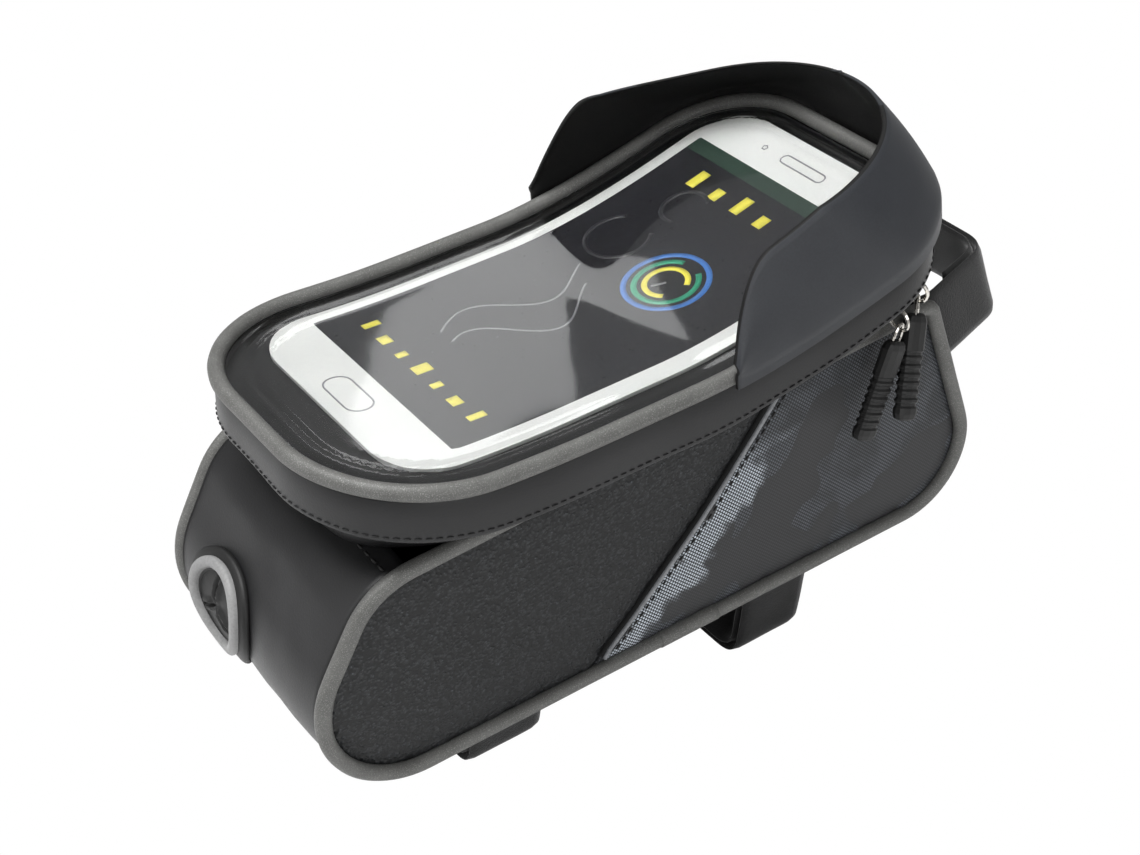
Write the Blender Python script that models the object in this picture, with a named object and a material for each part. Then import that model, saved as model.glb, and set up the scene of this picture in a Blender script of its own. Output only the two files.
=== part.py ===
# Top tube phone bag: a soft zipped bag for a bicycle frame, with a lid that holds a phone behind a clear window.
# Metres, +Z up, +X towards the head tube, origin in the middle of the underside that sits on the top tube.
import math

import bmesh
import bpy
from mathutils import Vector

for old in list(bpy.data.objects):
    bpy.data.objects.remove(old, do_unlink=True)

MM = 0.001
GAP = 0.3

# Finishes: name, colour, roughness, metallic
FINISHES = {
    "smooth_pu": ((0.024, 0.024, 0.025), 0.45, 0.0),
    "grain_pu": ((0.022, 0.023, 0.025), 0.55, 0.0),
    "mesh_fabric": ((0.045, 0.045, 0.046), 0.7, 0.0),
    "piping_grey": ((0.19, 0.19, 0.185), 0.5, 0.0),
    "trim_grey": ((0.18, 0.185, 0.195), 0.5, 0.0),
    "black_rubber": ((0.012, 0.012, 0.012), 0.6, 0.0),
    "port_grey": ((0.25, 0.25, 0.25), 0.5, 0.0),
    "strap_black": ((0.010, 0.010, 0.011), 0.9, 0.0),
    "tape_black": ((0.012, 0.012, 0.013), 0.85, 0.0),
    "coil_black": ((0.015, 0.015, 0.015), 0.5, 0.0),
    "nickel": ((0.72, 0.70, 0.66), 0.2, 1.0),
    "window_tpu": ((0.9, 0.9, 0.9), 0.05, 0.0),
    "pad_black": ((0.015, 0.015, 0.015), 0.8, 0.0),
    "visor_pu": ((0.045, 0.049, 0.055), 0.55, 0.0),
    "insert_print": ((0.72, 0.72, 0.72), 0.4, 0.0),
}

# Side outline of the bag, as corners of the seam line where the side piping runs, with the radius at each
OUTLINE = [
    ((-108.3, 1.2), 24.3),
    ((108.3, 1.2), 19.0),
    ((87.6, 65.6), 3.5),
    ((41.7, 63.6), 60.0),
    ((-72.6, 58.3), 19.3),
]
HALF_LOW = 36.0
HALF_HIGH = 37.0
HIGH = 65.0
PIPING_R = 2.0
GUSSET_OUT = 1.2
GUSSET_IN = 3.0
PANEL_OUT = 0.5
PANEL_THICK = 2.5
PANEL_INSET = 2.3

# Lid seen from above: the seam line where the lid piping runs
LID_REAR = -77.4
LID_FRONT = 91.4
LID_OVER = 9.0
LID_HALF = HALF_HIGH + LID_OVER
LID_R_REAR = 34.0
LID_R_FRONT = 26.0
LID_PIPING_Z = 78.7
BAND_TALL = 10.2
BAND_TOP = LID_PIPING_Z - PIPING_R - GAP
BAND_LOW = BAND_TOP - BAND_TALL
BAND_THICK = 2.0
LIFT_REAR = 5.5
RISE_FROM = 10.0
RISE_SLOPE = 0.4528
RISE_SOFT = 97.0
LIFT_FROM = -14.0

# Zip level under the lid's skirt
ZIP_Z = BAND_LOW + 1.2
ZIP_INSET = 4.0
COIL_R = 0.75
COIL_OFF = 1.4
ZIP_REAR = -48.0


def linear(hex_colour):
    """Linear colour of a plain tuple, passed through."""
    return (*hex_colour, 1.0)


def finish(obj, slot):
    """Gives the object its own principled material named for the slot."""
    colour, rough, metal = FINISHES[slot]
    mat = bpy.data.materials.new(slot + "_" + obj.name)
    mat.use_nodes = True
    shader = mat.node_tree.nodes["Principled BSDF"]
    shader.inputs["Base Color"].default_value = linear(colour)
    shader.inputs["Roughness"].default_value = rough
    shader.inputs["Metallic"].default_value = metal
    obj.data.materials.append(mat)
    return obj


def solid(name, verts, faces, slot):
    """A closed mesh from points in millimetres and faces."""
    mesh = bpy.data.meshes.new(name)
    mesh.from_pydata([Vector(v) * MM for v in verts], [], faces)
    bm = bmesh.new()
    bm.from_mesh(mesh)
    bmesh.ops.remove_doubles(bm, verts=bm.verts, dist=1e-6)
    bmesh.ops.recalc_face_normals(bm, faces=bm.faces)
    bm.to_mesh(mesh)
    bm.free()
    obj = bpy.data.objects.new(name, mesh)
    bpy.context.collection.objects.link(obj)
    return finish(obj, slot)


def loft(name, rings, slot, closed=False):
    """A solid through equal rings of points; open ends are capped."""
    n = len(rings[0])
    verts = [p for ring in rings for p in ring]
    faces = []
    count = len(rings)
    for i in range(count if closed else count - 1):
        j = (i + 1) % count
        for k in range(n):
            m = (k + 1) % n
            faces.append((i * n + k, i * n + m, j * n + m, j * n + k))
    if not closed:
        faces.append(tuple(range(n)))
        faces.append(tuple((count - 1) * n + k for k in range(n)))
    return solid(name, verts, faces, slot)


def rounded(corners, inset=0.0, step=12.0):
    """Points round a polygon of (corner, radius), moved inwards by inset, with an arc at each corner."""
    n = len(corners)
    pts = [Vector(c[0]) for c in corners]
    area = sum(pts[i].x * pts[(i + 1) % n].y - pts[(i + 1) % n].x * pts[i].y for i in range(n))
    turn = 1.0 if area > 0 else -1.0
    out = []
    for i in range(n):
        prev, here, nxt = pts[i - 1], pts[i], pts[(i + 1) % n]
        d0 = (here - prev).normalized()
        d1 = (nxt - here).normalized()
        n0 = Vector((-d0.y, d0.x)) * turn
        n1 = Vector((-d1.y, d1.x)) * turn
        bend = d0.angle(d1)
        sharp = here + (n0 + n1).normalized() * (inset / math.cos(bend / 2))
        convex = (d0.x * d1.y - d0.y * d1.x) * turn > 0
        radius = max(0.6, corners[i][1] - inset if convex else corners[i][1] + inset)
        reach = radius * math.tan(bend / 2)
        start = sharp - d0 * reach
        centre = start + (n0 if convex else -n0) * radius
        steps = max(2, math.ceil(math.degrees(bend) / step - 0.001))
        arm = start - centre
        sign = turn if convex else -turn
        for k in range(steps + 1):
            a = sign * bend * k / steps
            out.append(centre + Vector((arm.x * math.cos(a) - arm.y * math.sin(a), arm.x * math.sin(a) + arm.y * math.cos(a))))
    return out


def half_width(z):
    """Half width of the bag at the seam line."""
    return HALF_LOW + (HALF_HIGH - HALF_LOW) * min(1.0, max(0.0, z / HIGH))


def normals(points, closed):
    """Left-hand normals of a plane line of points."""
    out = []
    n = len(points)
    for i in range(n):
        a = points[i - 1] if closed or i > 0 else points[i]
        b = points[(i + 1) % n] if closed or i < n - 1 else points[i]
        d = (b - a).normalized()
        out.append(Vector((-d.y, d.x)))
    return out


def tube(name, points, radius, slot, closed=False, sides=8):
    """A round rod along points in space."""
    pts = [Vector(p) for p in points]
    n = len(pts)
    rings = []
    side = None
    for i in range(n):
        a = pts[i - 1] if closed or i > 0 else pts[i]
        b = pts[(i + 1) % n] if closed or i < n - 1 else pts[i]
        d = (b - a).normalized()
        if side is None:
            side = d.orthogonal().normalized()
        side = (side - d * side.dot(d)).normalized()
        up = d.cross(side)
        rings.append([pts[i] + (side * math.cos(t) + up * math.sin(t)) * radius for t in (2 * math.pi * k / sides for k in range(sides))])
    if not closed:
        return loft(name, rings, slot)
    first, last = rings[0], rings[-1]
    shift = min(range(sides), key=lambda s: sum((first[(k + s) % sides] - last[k]).length for k in range(sides)))
    if shift:
        rings = rings + [[first[(k + shift) % sides] for k in range(sides)]]
    else:
        rings = rings + [first]
    obj_rings = rings
    verts = [p for ring in obj_rings for p in ring]
    faces = []
    for i in range(len(obj_rings) - 1):
        for k in range(sides):
            m = (k + 1) % sides
            faces.append((i * sides + k, i * sides + m, (i + 1) * sides + m, (i + 1) * sides + k))
    return solid(name, verts, faces, slot)


# The gusset: one padded strip up the rear, along the bottom and up the front
SEAM = rounded(OUTLINE)
TOP_START = (-62.0, 88.0)


def on_gusset(p):
    """True for the parts of the seam line that the gusset covers."""
    return not (p.y > 57.0 and TOP_START[0] < p.x < TOP_START[1])


outer = rounded(OUTLINE, -GUSSET_OUT)
inner = rounded(OUTLINE, GUSSET_IN)
last = len(SEAM)
knee_end = last - 1
front_top = 6
for i, p in enumerate(SEAM):
    if p.x > 80 and p.y < 55:
        front_top = i
order = [i % last for i in range(knee_end - 8, knee_end + 1)] + list(range(0, front_top + 2))
order = [i for i in order if on_gusset(SEAM[i])]
rings = []
for i in order:
    a, b = outer[i], inner[i]
    wa, wb = half_width(a.y) - PANEL_THICK + PANEL_OUT - GAP, half_width(b.y) - PANEL_THICK + PANEL_OUT - GAP
    rings.append([(a.x, -wa, a.y), (a.x, wa, a.y), (b.x, wb, b.y), (b.x, -wb, b.y)])
loft("gusset", rings, "smooth_pu")

# Side panels: pebbled leatherette at the rear, woven mesh at the front, split along the sloping seam
SPLIT = [(-24.0, -4.0), (-13.3, 6.8), (15.4, 33.5), (41.6, 63.5), (44.0, 68.0)]
SPLIT_GAP = 0.3


def cross_at(edge_a, edge_b, line):
    """Where a short edge meets the split line, or None."""
    for p, q in zip(line, line[1:]):
        r = edge_b - edge_a
        s = q - p
        det = r.x * s.y - r.y * s.x
        if abs(det) < 1e-9:
            continue
        t = ((p.x - edge_a.x) * s.y - (p.y - edge_a.y) * s.x) / det
        u = ((p.x - edge_a.x) * r.y - (p.y - edge_a.y) * r.x) / det
        if 0 <= t <= 1 and 0 <= u <= 1:
            return edge_a + r * t
    return None


def half_panel(rear):
    """Outline of the rear or front half of a side panel."""
    shift = Vector((-SPLIT_GAP / 2, 0)) if rear else Vector((SPLIT_GAP / 2, 0))
    line = [Vector(p) + shift for p in SPLIT]
    loop = rounded(OUTLINE, PANEL_INSET)
    n = len(loop)
    hits = []
    for i in range(n):
        c = cross_at(loop[i], loop[(i + 1) % n], line)
        if c is not None:
            hits.append((i, c))
    (i0, c0), (i1, c1) = hits
    part_a = [c0] + [loop[k] for k in range(i0 + 1, i1 + 1)] + [c1]
    part_b = [c1] + [loop[k % n] for k in range(i1 + 1, i0 + 1 + n)] + [c0]
    mean_a = sum(p.x for p in part_a) / len(part_a)
    mean_b = sum(p.x for p in part_b) / len(part_b)
    rear_is_a = mean_a < mean_b
    loop = part_a if rear_is_a == rear else part_b
    start, end = loop[0], loop[-1]
    between = [p for p in line if min(start.y, end.y) + 0.5 < p.y < max(start.y, end.y) - 0.5]
    between.sort(key=lambda p: p.y, reverse=end.y > start.y)
    return loop + between


for side, sign in (("right", -1), ("left", 1)):
    for rear, slot, label in ((True, "grain_pu", "rear"), (False, "mesh_fabric", "front")):
        loop = half_panel(rear)
        out_face = [(p.x, sign * (half_width(p.y) + PANEL_OUT), p.y) for p in loop]
        in_face = [(p.x, sign * (half_width(p.y) + PANEL_OUT - PANEL_THICK), p.y) for p in loop]
        loft(f"{side}_{label}_panel", [out_face, in_face], slot)
    # Piping round the whole side
    tube(f"{side}_piping", [(p.x, sign * (half_width(p.y) + 0.0), p.y) for p in SEAM], PIPING_R, "piping_grey", closed=True)
    # Thin grey strand over the sloping seam
    strand_r = 0.8
    lift_out = PANEL_OUT + GAP + strand_r
    pts = [(-11.6, 8.4), (-5.0, 14.3), (5.0, 23.6), (15.4, 33.3), (24.0, 42.9), (32.0, 52.0), (38.4, 59.4)]
    tube(f"{side}_trim", [(x, sign * (half_width(z) + lift_out), z) for x, z in pts], strand_r, "trim_grey")


# Lid pieces follow one line seen from above
def lift(x):
    """The soft lid rises towards the front and a little at its rear end."""
    if x < LIFT_FROM:
        return LIFT_REAR * ((LIFT_FROM - x) / (LIFT_FROM - LID_REAR)) ** 2
    if x < RISE_FROM:
        return 0.0
    return RISE_SLOPE * (x - RISE_FROM) ** 2 / (x - RISE_FROM + RISE_SOFT)


def lid_ring(offset, step=9.0):
    """Closed line round the lid, moved outwards by offset."""
    corners = [
        ((LID_REAR, -LID_HALF), LID_R_REAR),
        ((LID_FRONT, -LID_HALF), LID_R_FRONT),
        ((LID_FRONT, LID_HALF), LID_R_FRONT),
        ((LID_REAR, LID_HALF), LID_R_REAR),
    ]
    pts = rounded(corners, -offset, step)
    out = []
    for i, p in enumerate(pts):
        q = pts[(i + 1) % len(pts)]
        out.append(p)
        if abs(p.y - q.y) < 1e-3 and (p - q).length > 60:
            for k in (1, 2, 3, 4, 5):
                out.append(p.lerp(q, k / 6))
    return out


def swept_ring(name, section, slot):
    """A closed strip round the lid from a section of (offset, z)."""
    lines = [lid_ring(o) for o, _ in section]
    rings = []
    for i in range(len(lines[0])):
        rings.append([(line[i].x, line[i].y, z + lift(line[i].x)) for line, (_, z) in zip(lines, section)])
    return loft(name, rings, slot, closed=True)


tube("lid_piping", [(p.x, p.y, LID_PIPING_Z + lift(p.x)) for p in lid_ring(0.0)], PIPING_R, "piping_grey", closed=True)
swept_ring("lid_band", [(0.4, BAND_TOP), (2.0, BAND_LOW), (2.0 - BAND_THICK, BAND_LOW), (0.4 - BAND_THICK, BAND_TOP)], "smooth_pu")


def half_at(x, offset, rear, front, half, r_rear, r_front):
    """Half width of a rounded rectangle at x."""
    x0, x1, h = rear - offset, front + offset, half + offset
    r0, r1 = max(0.5, r_rear + offset), max(0.5, r_front + offset)
    if x < x0 + r0:
        return h - r0 + math.sqrt(max(0.0, r0 * r0 - (x0 + r0 - x) ** 2))
    if x > x1 - r1:
        return h - r1 + math.sqrt(max(0.0, r1 * r1 - (x - x1 + r1) ** 2))
    return h


def slab(name, shape, z_low, z_high, slot, y_mid=0.0, with_lift=True):
    """A flat piece with a rounded rectangle plan: shape is rear x, front x, half width, rear and front radius."""
    rear, front, half, r_rear, r_front = shape
    xs = []
    for k in range(9):
        xs.append(rear + r_rear * (1 - math.cos(math.pi / 2 * k / 8)))
    for k in range(1, 6):
        xs.append(rear + r_rear + (front - r_front - rear - r_rear) * k / 6)
    for k in range(9):
        xs.append(front - r_front * (1 - math.sin(math.pi / 2 * k / 8)))
    rings = []
    for x in xs:
        h = half_at(x, 0.0, rear, front, half, r_rear, r_front)
        up = lift(x) if with_lift else 0.0
        rings.append([(x, y_mid - h, z_low + up), (x, y_mid + h, z_low + up), (x, y_mid + h, z_high + up), (x, y_mid - h, z_high + up)])
    return loft(name, rings, slot)


def lid_shape(offset):
    """The lid's plan as a slab shape, moved outwards by offset."""
    return (LID_REAR - offset, LID_FRONT + offset, LID_HALF + offset, LID_R_REAR + offset, LID_R_FRONT + offset)


# Flat pieces of the lid, stacked downwards from the window
WINDOW_LOW = LID_PIPING_Z - 1.0
WINDOW_THICK = 0.8
INSERT_SHAPE = (-60.5, 86.0, 37.0, 15.0, 15.0)
INSERT_MID = 2.0
INSERT_THICK = 1.0
PAD_THICK = 4.6
FLOOR_THICK = 1.2
FLAP_SHAPE = (-50.0, 60.0, 33.0, 10.0, 10.0)
FLAP_THICK = 1.0
insert_top = WINDOW_LOW - 2 * GAP
pad_top = insert_top - INSERT_THICK - GAP
floor_top = pad_top - PAD_THICK - GAP
flap_top = floor_top - FLOOR_THICK - GAP
slab("lid_window", lid_shape(-PIPING_R - GAP), WINDOW_LOW, WINDOW_LOW + WINDOW_THICK, "window_tpu")
slab("display_insert", INSERT_SHAPE, insert_top - INSERT_THICK, insert_top, "insert_print", y_mid=INSERT_MID)
slab("pocket_pad", lid_shape(-2.0), pad_top - PAD_THICK, pad_top, "pad_black")
slab("pocket_floor", lid_shape(-1.0), floor_top - FLOOR_THICK, floor_top, "tape_black")
slab("pocket_flap", FLAP_SHAPE, flap_top - FLAP_THICK, flap_top, "strap_black")

# Sun visor: a bent sheet sewn outside the lid piping, leaning inwards to a wider curve at its top
VISOR_THICK = 1.2
VISOR_FOOT = BAND_TOP + 2 * GAP
VISOR_KNEE = LID_PIPING_Z + PIPING_R + 0.2
VISOR_OUT = PIPING_R + GAP + VISOR_THICK / 2
VISOR_IN = 3.0
VISOR_TOP_R = 42.0
VISOR_RIGHT = 18.0
VISOR_LEFT = 27.0
VISOR_END = 27.0


def visor_line(inset, radius, rear_right, rear_left, straight=7, turn=9):
    """Open line round the lid's front, with the same count of points for any inset and radius."""
    front, half = LID_FRONT - inset, LID_HALF - inset
    mid = front - radius
    out = [Vector((rear_right + (mid - rear_right) * k / straight, -half)) for k in range(straight)]
    for k in range(turn):
        a = -math.pi / 2 + math.pi / 2 * k / turn
        out.append(Vector((mid + radius * math.cos(a), -half + radius + radius * math.sin(a))))
    gap = half - radius
    out += [Vector((front, -gap + 2 * gap * k / 5)) for k in range(5)]
    for k in range(turn):
        a = math.pi / 2 * k / turn
        out.append(Vector((mid + radius * math.cos(a), half - radius + radius * math.sin(a))))
    out += [Vector((mid + (rear_left - mid) * k / straight, half)) for k in range(straight + 1)]
    return out


def visor_height(x, y):
    """Height of the visor over the piping: tall at the sides, lower in front and lowest at the left corner."""
    f = min(1.0, max(0.0, (x - 50.0) / 35.0))
    f = f * f * (3 - 2 * f)
    return (20.5 - 0.02 * y) * (1 - f) + (16.2 - 0.12 * y) * f


foot_line = visor_line(-VISOR_OUT, LID_R_FRONT + VISOR_OUT, VISOR_RIGHT, VISOR_LEFT)
top_line = visor_line(VISOR_IN, VISOR_TOP_R, VISOR_RIGHT, VISOR_LEFT)
foot_norm = [-v for v in normals(foot_line, False)]
run = [0.0]
for a, b in zip(foot_line, foot_line[1:]):
    run.append(run[-1] + (b - a).length)
rings = []
for p, q, n, s in zip(foot_line, top_line, foot_norm, run):
    near = min(s, run[-1] - s)
    rise = max(0.12, (1 - (1 - min(near / VISOR_END, 1.0)) ** 2.4) ** 0.62)
    n = n if n.x * (p.x - 20.0) + n.y * p.y > 0 else -n
    knee = VISOR_KNEE + lift(p.x)
    top = p.lerp(q, rise)
    path = [(p, VISOR_FOOT + lift(p.x)), (p, knee), (top, knee + visor_height(p.x, q.y) * rise)]
    half = n * (VISOR_THICK / 2)
    ring = [(c.x + half.x, c.y + half.y, z) for c, z in path]
    ring += [(c.x - half.x, c.y - half.y, z) for c, z in reversed(path)]
    rings.append(ring)
loft("sun_visor", rings, "visor_pu")


# Zip: two tapes and two rows of coil in a U that is open at the rear
def u_path(half, front, radius, step=9.0):
    """Open U line seen from above, from the left rear round the front to the right rear."""
    out = [Vector((ZIP_REAR, half)), Vector((-10.0, half)), Vector((30.0, half))]
    steps = round(90 / step)
    for k in range(steps + 1):
        a = math.pi / 2 * (1 - k / steps)
        out.append(Vector((front - radius + radius * math.cos(a), half - radius + radius * math.sin(a))))
    for k in range(steps + 1):
        a = -math.pi / 2 * k / steps
        out.append(Vector((front - radius + radius * math.cos(a), -half + radius + radius * math.sin(a))))
    out += [Vector((30.0, -half)), Vector((-10.0, -half)), Vector((ZIP_REAR, -half))]
    return out


def zip_line(n):
    """U line at n outwards from the middle of the zip."""
    return u_path(LID_HALF - ZIP_INSET + n, LID_FRONT - ZIP_INSET + n, LID_R_FRONT - ZIP_INSET + n)


TOP_AT = [p for p in SEAM if p.y > 40.0]


def seam_top(x):
    """Height of the upper seam line at x."""
    knots = sorted((p.x, p.y) for p in TOP_AT if p.x < 88.0 and p.y > 45.0)
    for (x0, z0), (x1, z1) in zip(knots, knots[1:]):
        if x0 <= x <= x1:
            return z0 + (z1 - z0) * (x - x0) / max(1e-6, x1 - x0)
    return knots[0][1] if x < knots[0][0] else knots[-1][1]


# The lower tape's leg stands inside the gusset's seam
LEG_THICK = 0.8
LEG_HALF = HALF_HIGH - 2.6
LEG_FRONT = OUTLINE[2][0][0] - 4.2
LEG_R = 12.0
leg_out = u_path(LEG_HALF, LEG_FRONT, LEG_R)
leg_in = u_path(LEG_HALF - LEG_THICK, LEG_FRONT - LEG_THICK, LEG_R - LEG_THICK)
edge_out = zip_line(-COIL_OFF - COIL_R - 0.35)
edge_in = zip_line(-COIL_OFF - COIL_R - 0.95)
rings = []
for a, b, c, d in zip(leg_out, leg_in, edge_out, edge_in):
    low = seam_top(a.x) - 6.0
    bend = seam_top(a.x) + 2.6
    rings.append([(a.x, a.y, low), (a.x, a.y, bend), (c.x, c.y, ZIP_Z - 0.2 + lift(c.x)), (d.x, d.y, ZIP_Z + 0.5 + lift(c.x)), (b.x, b.y, bend + 0.6), (b.x, b.y, low)])
loft("zip_tape_lower", rings, "tape_black")
inner_edge = zip_line(COIL_OFF + COIL_R + 0.35)
outer_edge = zip_line(ZIP_INSET - 0.7)
rings = []
for a, b in zip(inner_edge, outer_edge):
    z = ZIP_Z + lift(a.x)
    rings.append([(a.x, a.y, z - 0.35), (b.x, b.y, z - 0.35), (b.x, b.y, z + 0.35), (a.x, a.y, z + 0.35)])
loft("zip_tape_upper", rings, "tape_black")
tube("zip_coil_lower", [(p.x, p.y, ZIP_Z + lift(p.x)) for p in zip_line(-COIL_OFF)], COIL_R, "coil_black", sides=6)
tube("zip_coil_upper", [(p.x, p.y, ZIP_Z + lift(p.x)) for p in zip_line(COIL_OFF)], COIL_R, "coil_black", sides=6)

# Soft fold that joins the lid to the bag round the rear
fold_line = [p for p in lid_ring(-4.0)]
rear = [p for p in fold_line if p.x < -51.0]
rear.sort(key=lambda p: math.atan2(p.y, -(p.x + 43.0)))
rings = []
for p in rear:
    n = Vector((p.x + 43.4, p.y - (12.0 if p.y > 0 else -12.0) if abs(p.y) > 12.0 else 0.0)).normalized()
    low = seam_top(p.x) + 2.6
    high = 68.6 + lift(p.x)
    ring = []
    for u, t in ((0, 0), (0.5, 0), (1, 0), (1, 1), (0.5, 1), (0, 1)):
        off = 1.0 * math.sin(math.pi * u) + 1.4 * (0.5 - t)
        ring.append((p.x + n.x * off, p.y + n.y * off, low + (high - low) * u))
    rings.append(ring)
loft("hinge_fold", rings, "smooth_pu")


# Cable port: pieces wrapped over the curved rear of the gusset
PORT_Y = 12.3
PORT_Z = 29.5
wrap_line = [outer[i] for i in order]
wrap_norm = [-v for v in normals(wrap_line, False)]
along = [0.0]
for a, b in zip(wrap_line, wrap_line[1:]):
    along.append(along[-1] + (b - a).length)
port_at = min((abs(p.y - PORT_Z), s) for p, s in zip(wrap_line, along) if p.x < -60 and p.y < 50)[1]


def on_wrap(u, v, out):
    """A point u across, v up the rear and out from the gusset's surface."""
    s = port_at - v
    for i in range(len(along) - 1):
        if along[i] <= s <= along[i + 1]:
            t = (s - along[i]) / (along[i + 1] - along[i])
            p = wrap_line[i].lerp(wrap_line[i + 1], t)
            n = wrap_norm[i].lerp(wrap_norm[i + 1], t).normalized()
            return (p.x + n.x * out, PORT_Y + u, p.y + n.y * out)
    raise ValueError("the port runs past the gusset")


def port_radius(a):
    """Outline of the port: round above, drawn to a blunt point below."""
    return 11.2 + 1.6 * max(0.0, -math.sin(a)) ** 6


def wrapped_ring(name, r_in, r_out, low, high, slot, count=32):
    """A ring wrapped on the rear, between two scales of the port's outline."""
    rings = []
    for k in range(count):
        a = 2 * math.pi * k / count
        base = port_radius(a)
        c, s = math.cos(a), math.sin(a)
        ring = [on_wrap(c * base * r, s * base * r, h) for r, h in ((r_in, low), (r_out, low), (r_out, high), (r_in, high))]
        rings.append(ring)
    return loft(name, rings, slot, closed=True)


def disc(name, slot, low, high, scale, tail, slits, count=48, rows=5):
    """A wrapped disc, with a tail below and three slits from the middle when asked for."""
    cells = {}
    for k in range(count):
        for j in range(rows):
            cut = slits and j < rows - 1 and k % (count // 3) == 0
            cells[(j, k)] = not cut
    verts = {}
    points = []

    def vert(j, k, layer):
        key = (j, k % count, layer) if j > 0 else (0, k % count if slits else 0, layer)
        if key not in verts:
            a = 2 * math.pi * (key[1] + (0.5 if slits else 0.0)) / count + math.pi / 2
            hub = 0.06 if slits else 0.0
            r = (hub + (1 - hub) * j / rows) * scale * port_radius(a)
            stretch = 1.0 + tail * max(0.0, -math.sin(a)) ** 8 * (j / rows)
            verts[key] = len(points)
            points.append(on_wrap(r * math.cos(a), r * math.sin(a) * stretch, high if layer else low))
        return verts[key]

    faces = []
    for (j, k), keep in cells.items():
        if not keep:
            continue
        for layer in (0, 1):
            quad = [vert(j, k, layer), vert(j + 1, k, layer), vert(j + 1, k + 1, layer), vert(j, k + 1, layer)]
            faces.append(tuple(dict.fromkeys(quad)))
        edges = []
        if j == rows - 1:
            edges.append(((j + 1, k), (j + 1, k + 1)))
        if slits and j == 0:
            edges.append(((0, k), (0, k + 1)))
        if not cells.get((j, (k - 1) % count), False):
            edges.append(((j, k), (j + 1, k)))
        if not cells.get((j, (k + 1) % count), False):
            edges.append(((j, k + 1), (j + 1, k + 1)))
        if cells.get((j - 1, k)) is False:
            edges.append(((j, k), (j, k + 1)))
        for (j0, k0), (j1, k1) in edges:
            faces.append((vert(j0, k0, 0), vert(j1, k1, 0), vert(j1, k1, 1), vert(j0, k0, 1)))
    return solid(name, points, faces, slot)


disc("port_backing", "black_rubber", 0.3, 1.3, 1.32, 0.28, False, count=36, rows=4)
wrapped_ring("port_ring", 0.80, 1.10, 1.6, 3.2, "port_grey")
disc("port_membrane", "black_rubber", 1.6, 2.5, 0.77, 0.0, True)


# Straps: each is two overlapped tapes of hook and loop, sewn flat to the gusset
STRAP_THICK = 1.3
STRAP_WIDE = 21.0
REAR_STRAP_X = -35.0
FRONT_STRAP_X = 50.0
REAR_DROP = 27.0
FRONT_DROP = 38.0


def fillet_line(points, radius, steps=4):
    """An open line with its inner corners rounded."""
    pts = [Vector(p) for p in points]
    out = [pts[0]]
    for a, b, c in zip(pts, pts[1:], pts[2:]):
        d0, d1 = (b - a).normalized(), (c - b).normalized()
        bend = d0.angle(d1)
        reach = min(radius * math.tan(bend / 2), (b - a).length * 0.45, (c - b).length * 0.45)
        start, end = b - d0 * reach, b + d1 * reach
        for k in range(steps + 1):
            t = k / steps
            out.append(start.lerp(b, t).lerp(b.lerp(end, t), t))
    out.append(pts[-1])
    return out


def ribbon(name, line, place, thick, wide, slot):
    """A flat tape along a plane line; place turns (along, across, out) into a point."""
    norm = normals(line, False)
    rings = []
    for p, n in zip(line, norm):
        a, b = p + n * thick / 2, p - n * thick / 2
        rings.append([place(a, -wide / 2), place(a, wide / 2), place(b, wide / 2), place(b, -wide / 2)])
    return loft(name, rings, slot)


def strap(name, x_mid, drop):
    """Two tapes that hang below the gusset and lap under the top tube."""
    place = lambda p, s: (x_mid + s, p.x, p.y)
    step = STRAP_THICK + GAP
    top = -GAP - STRAP_THICK / 2
    inner_line = fillet_line([(6.0, top), (24.0, top), (16.0, -drop), (-16.0, -drop), (-20.2, -14.5)], 9.0)
    outer_line = fillet_line([(-6.0, top), (-24.0 - step, top), (-16.0 - step, -drop - step), (9.0, -drop - step)], 9.0)
    ribbon(f"{name}_strap_loop_side", inner_line, place, STRAP_THICK, STRAP_WIDE, "strap_black")
    ribbon(f"{name}_strap_hook_side", outer_line, place, STRAP_THICK, STRAP_WIDE, "strap_black")


strap("rear", REAR_STRAP_X, REAR_DROP)
strap("front", FRONT_STRAP_X, FRONT_DROP)

HEAD_Z = 46.0
HEAD_WIDE = 24.0
HEAD_REACH = 34.0
FRONT_LOW = Vector((OUTLINE[1][0][0], OUTLINE[1][0][1]))
FRONT_HIGH = Vector((OUTLINE[2][0][0], OUTLINE[2][0][1]))
front_dir = (FRONT_HIGH - FRONT_LOW).normalized()
front_out = Vector((front_dir.y, -front_dir.x))
front_mid = FRONT_LOW.lerp(FRONT_HIGH, (HEAD_Z - FRONT_LOW.y) / (FRONT_HIGH.y - FRONT_LOW.y)) + front_out * GUSSET_OUT


def on_front(p, s):
    """A point out from the front face: p is (out, y), s is up the face."""
    q = front_mid + front_out * min(p.x, 1.3) + Vector((1.0, 0.0)) * max(0.0, p.x - 1.3) + front_dir * s
    return (q.x, p.y, q.y)


step = STRAP_THICK + GAP
base = GAP + STRAP_THICK / 2
line = fillet_line([(base, 6.0), (base, 25.0), (HEAD_REACH, 14.0), (HEAD_REACH, -14.0), (17.0, -19.6)], 9.0)
ribbon("head_strap_loop_side", line, on_front, STRAP_THICK, HEAD_WIDE, "strap_black")
line = fillet_line([(base, -6.0), (base, -25.0 - step), (HEAD_REACH + step, -14.0 - step), (HEAD_REACH + step, 8.0)], 9.0)
ribbon("head_strap_hook_side", line, on_front, STRAP_THICK, HEAD_WIDE, "strap_black")

def join(target, tool, operation):
    """Joins the tool to the target, or cuts it out, and leaves one plain mesh."""
    mod = target.modifiers.new("join", "BOOLEAN")
    mod.operation = operation
    mod.solver = "EXACT"
    mod.object = tool
    graph = bpy.context.evaluated_depsgraph_get()
    mesh = bpy.data.meshes.new_from_object(target.evaluated_get(graph))
    target.modifiers.clear()
    target.data = mesh
    mesh.name = target.name
    bpy.data.objects.remove(tool, do_unlink=True)


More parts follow.
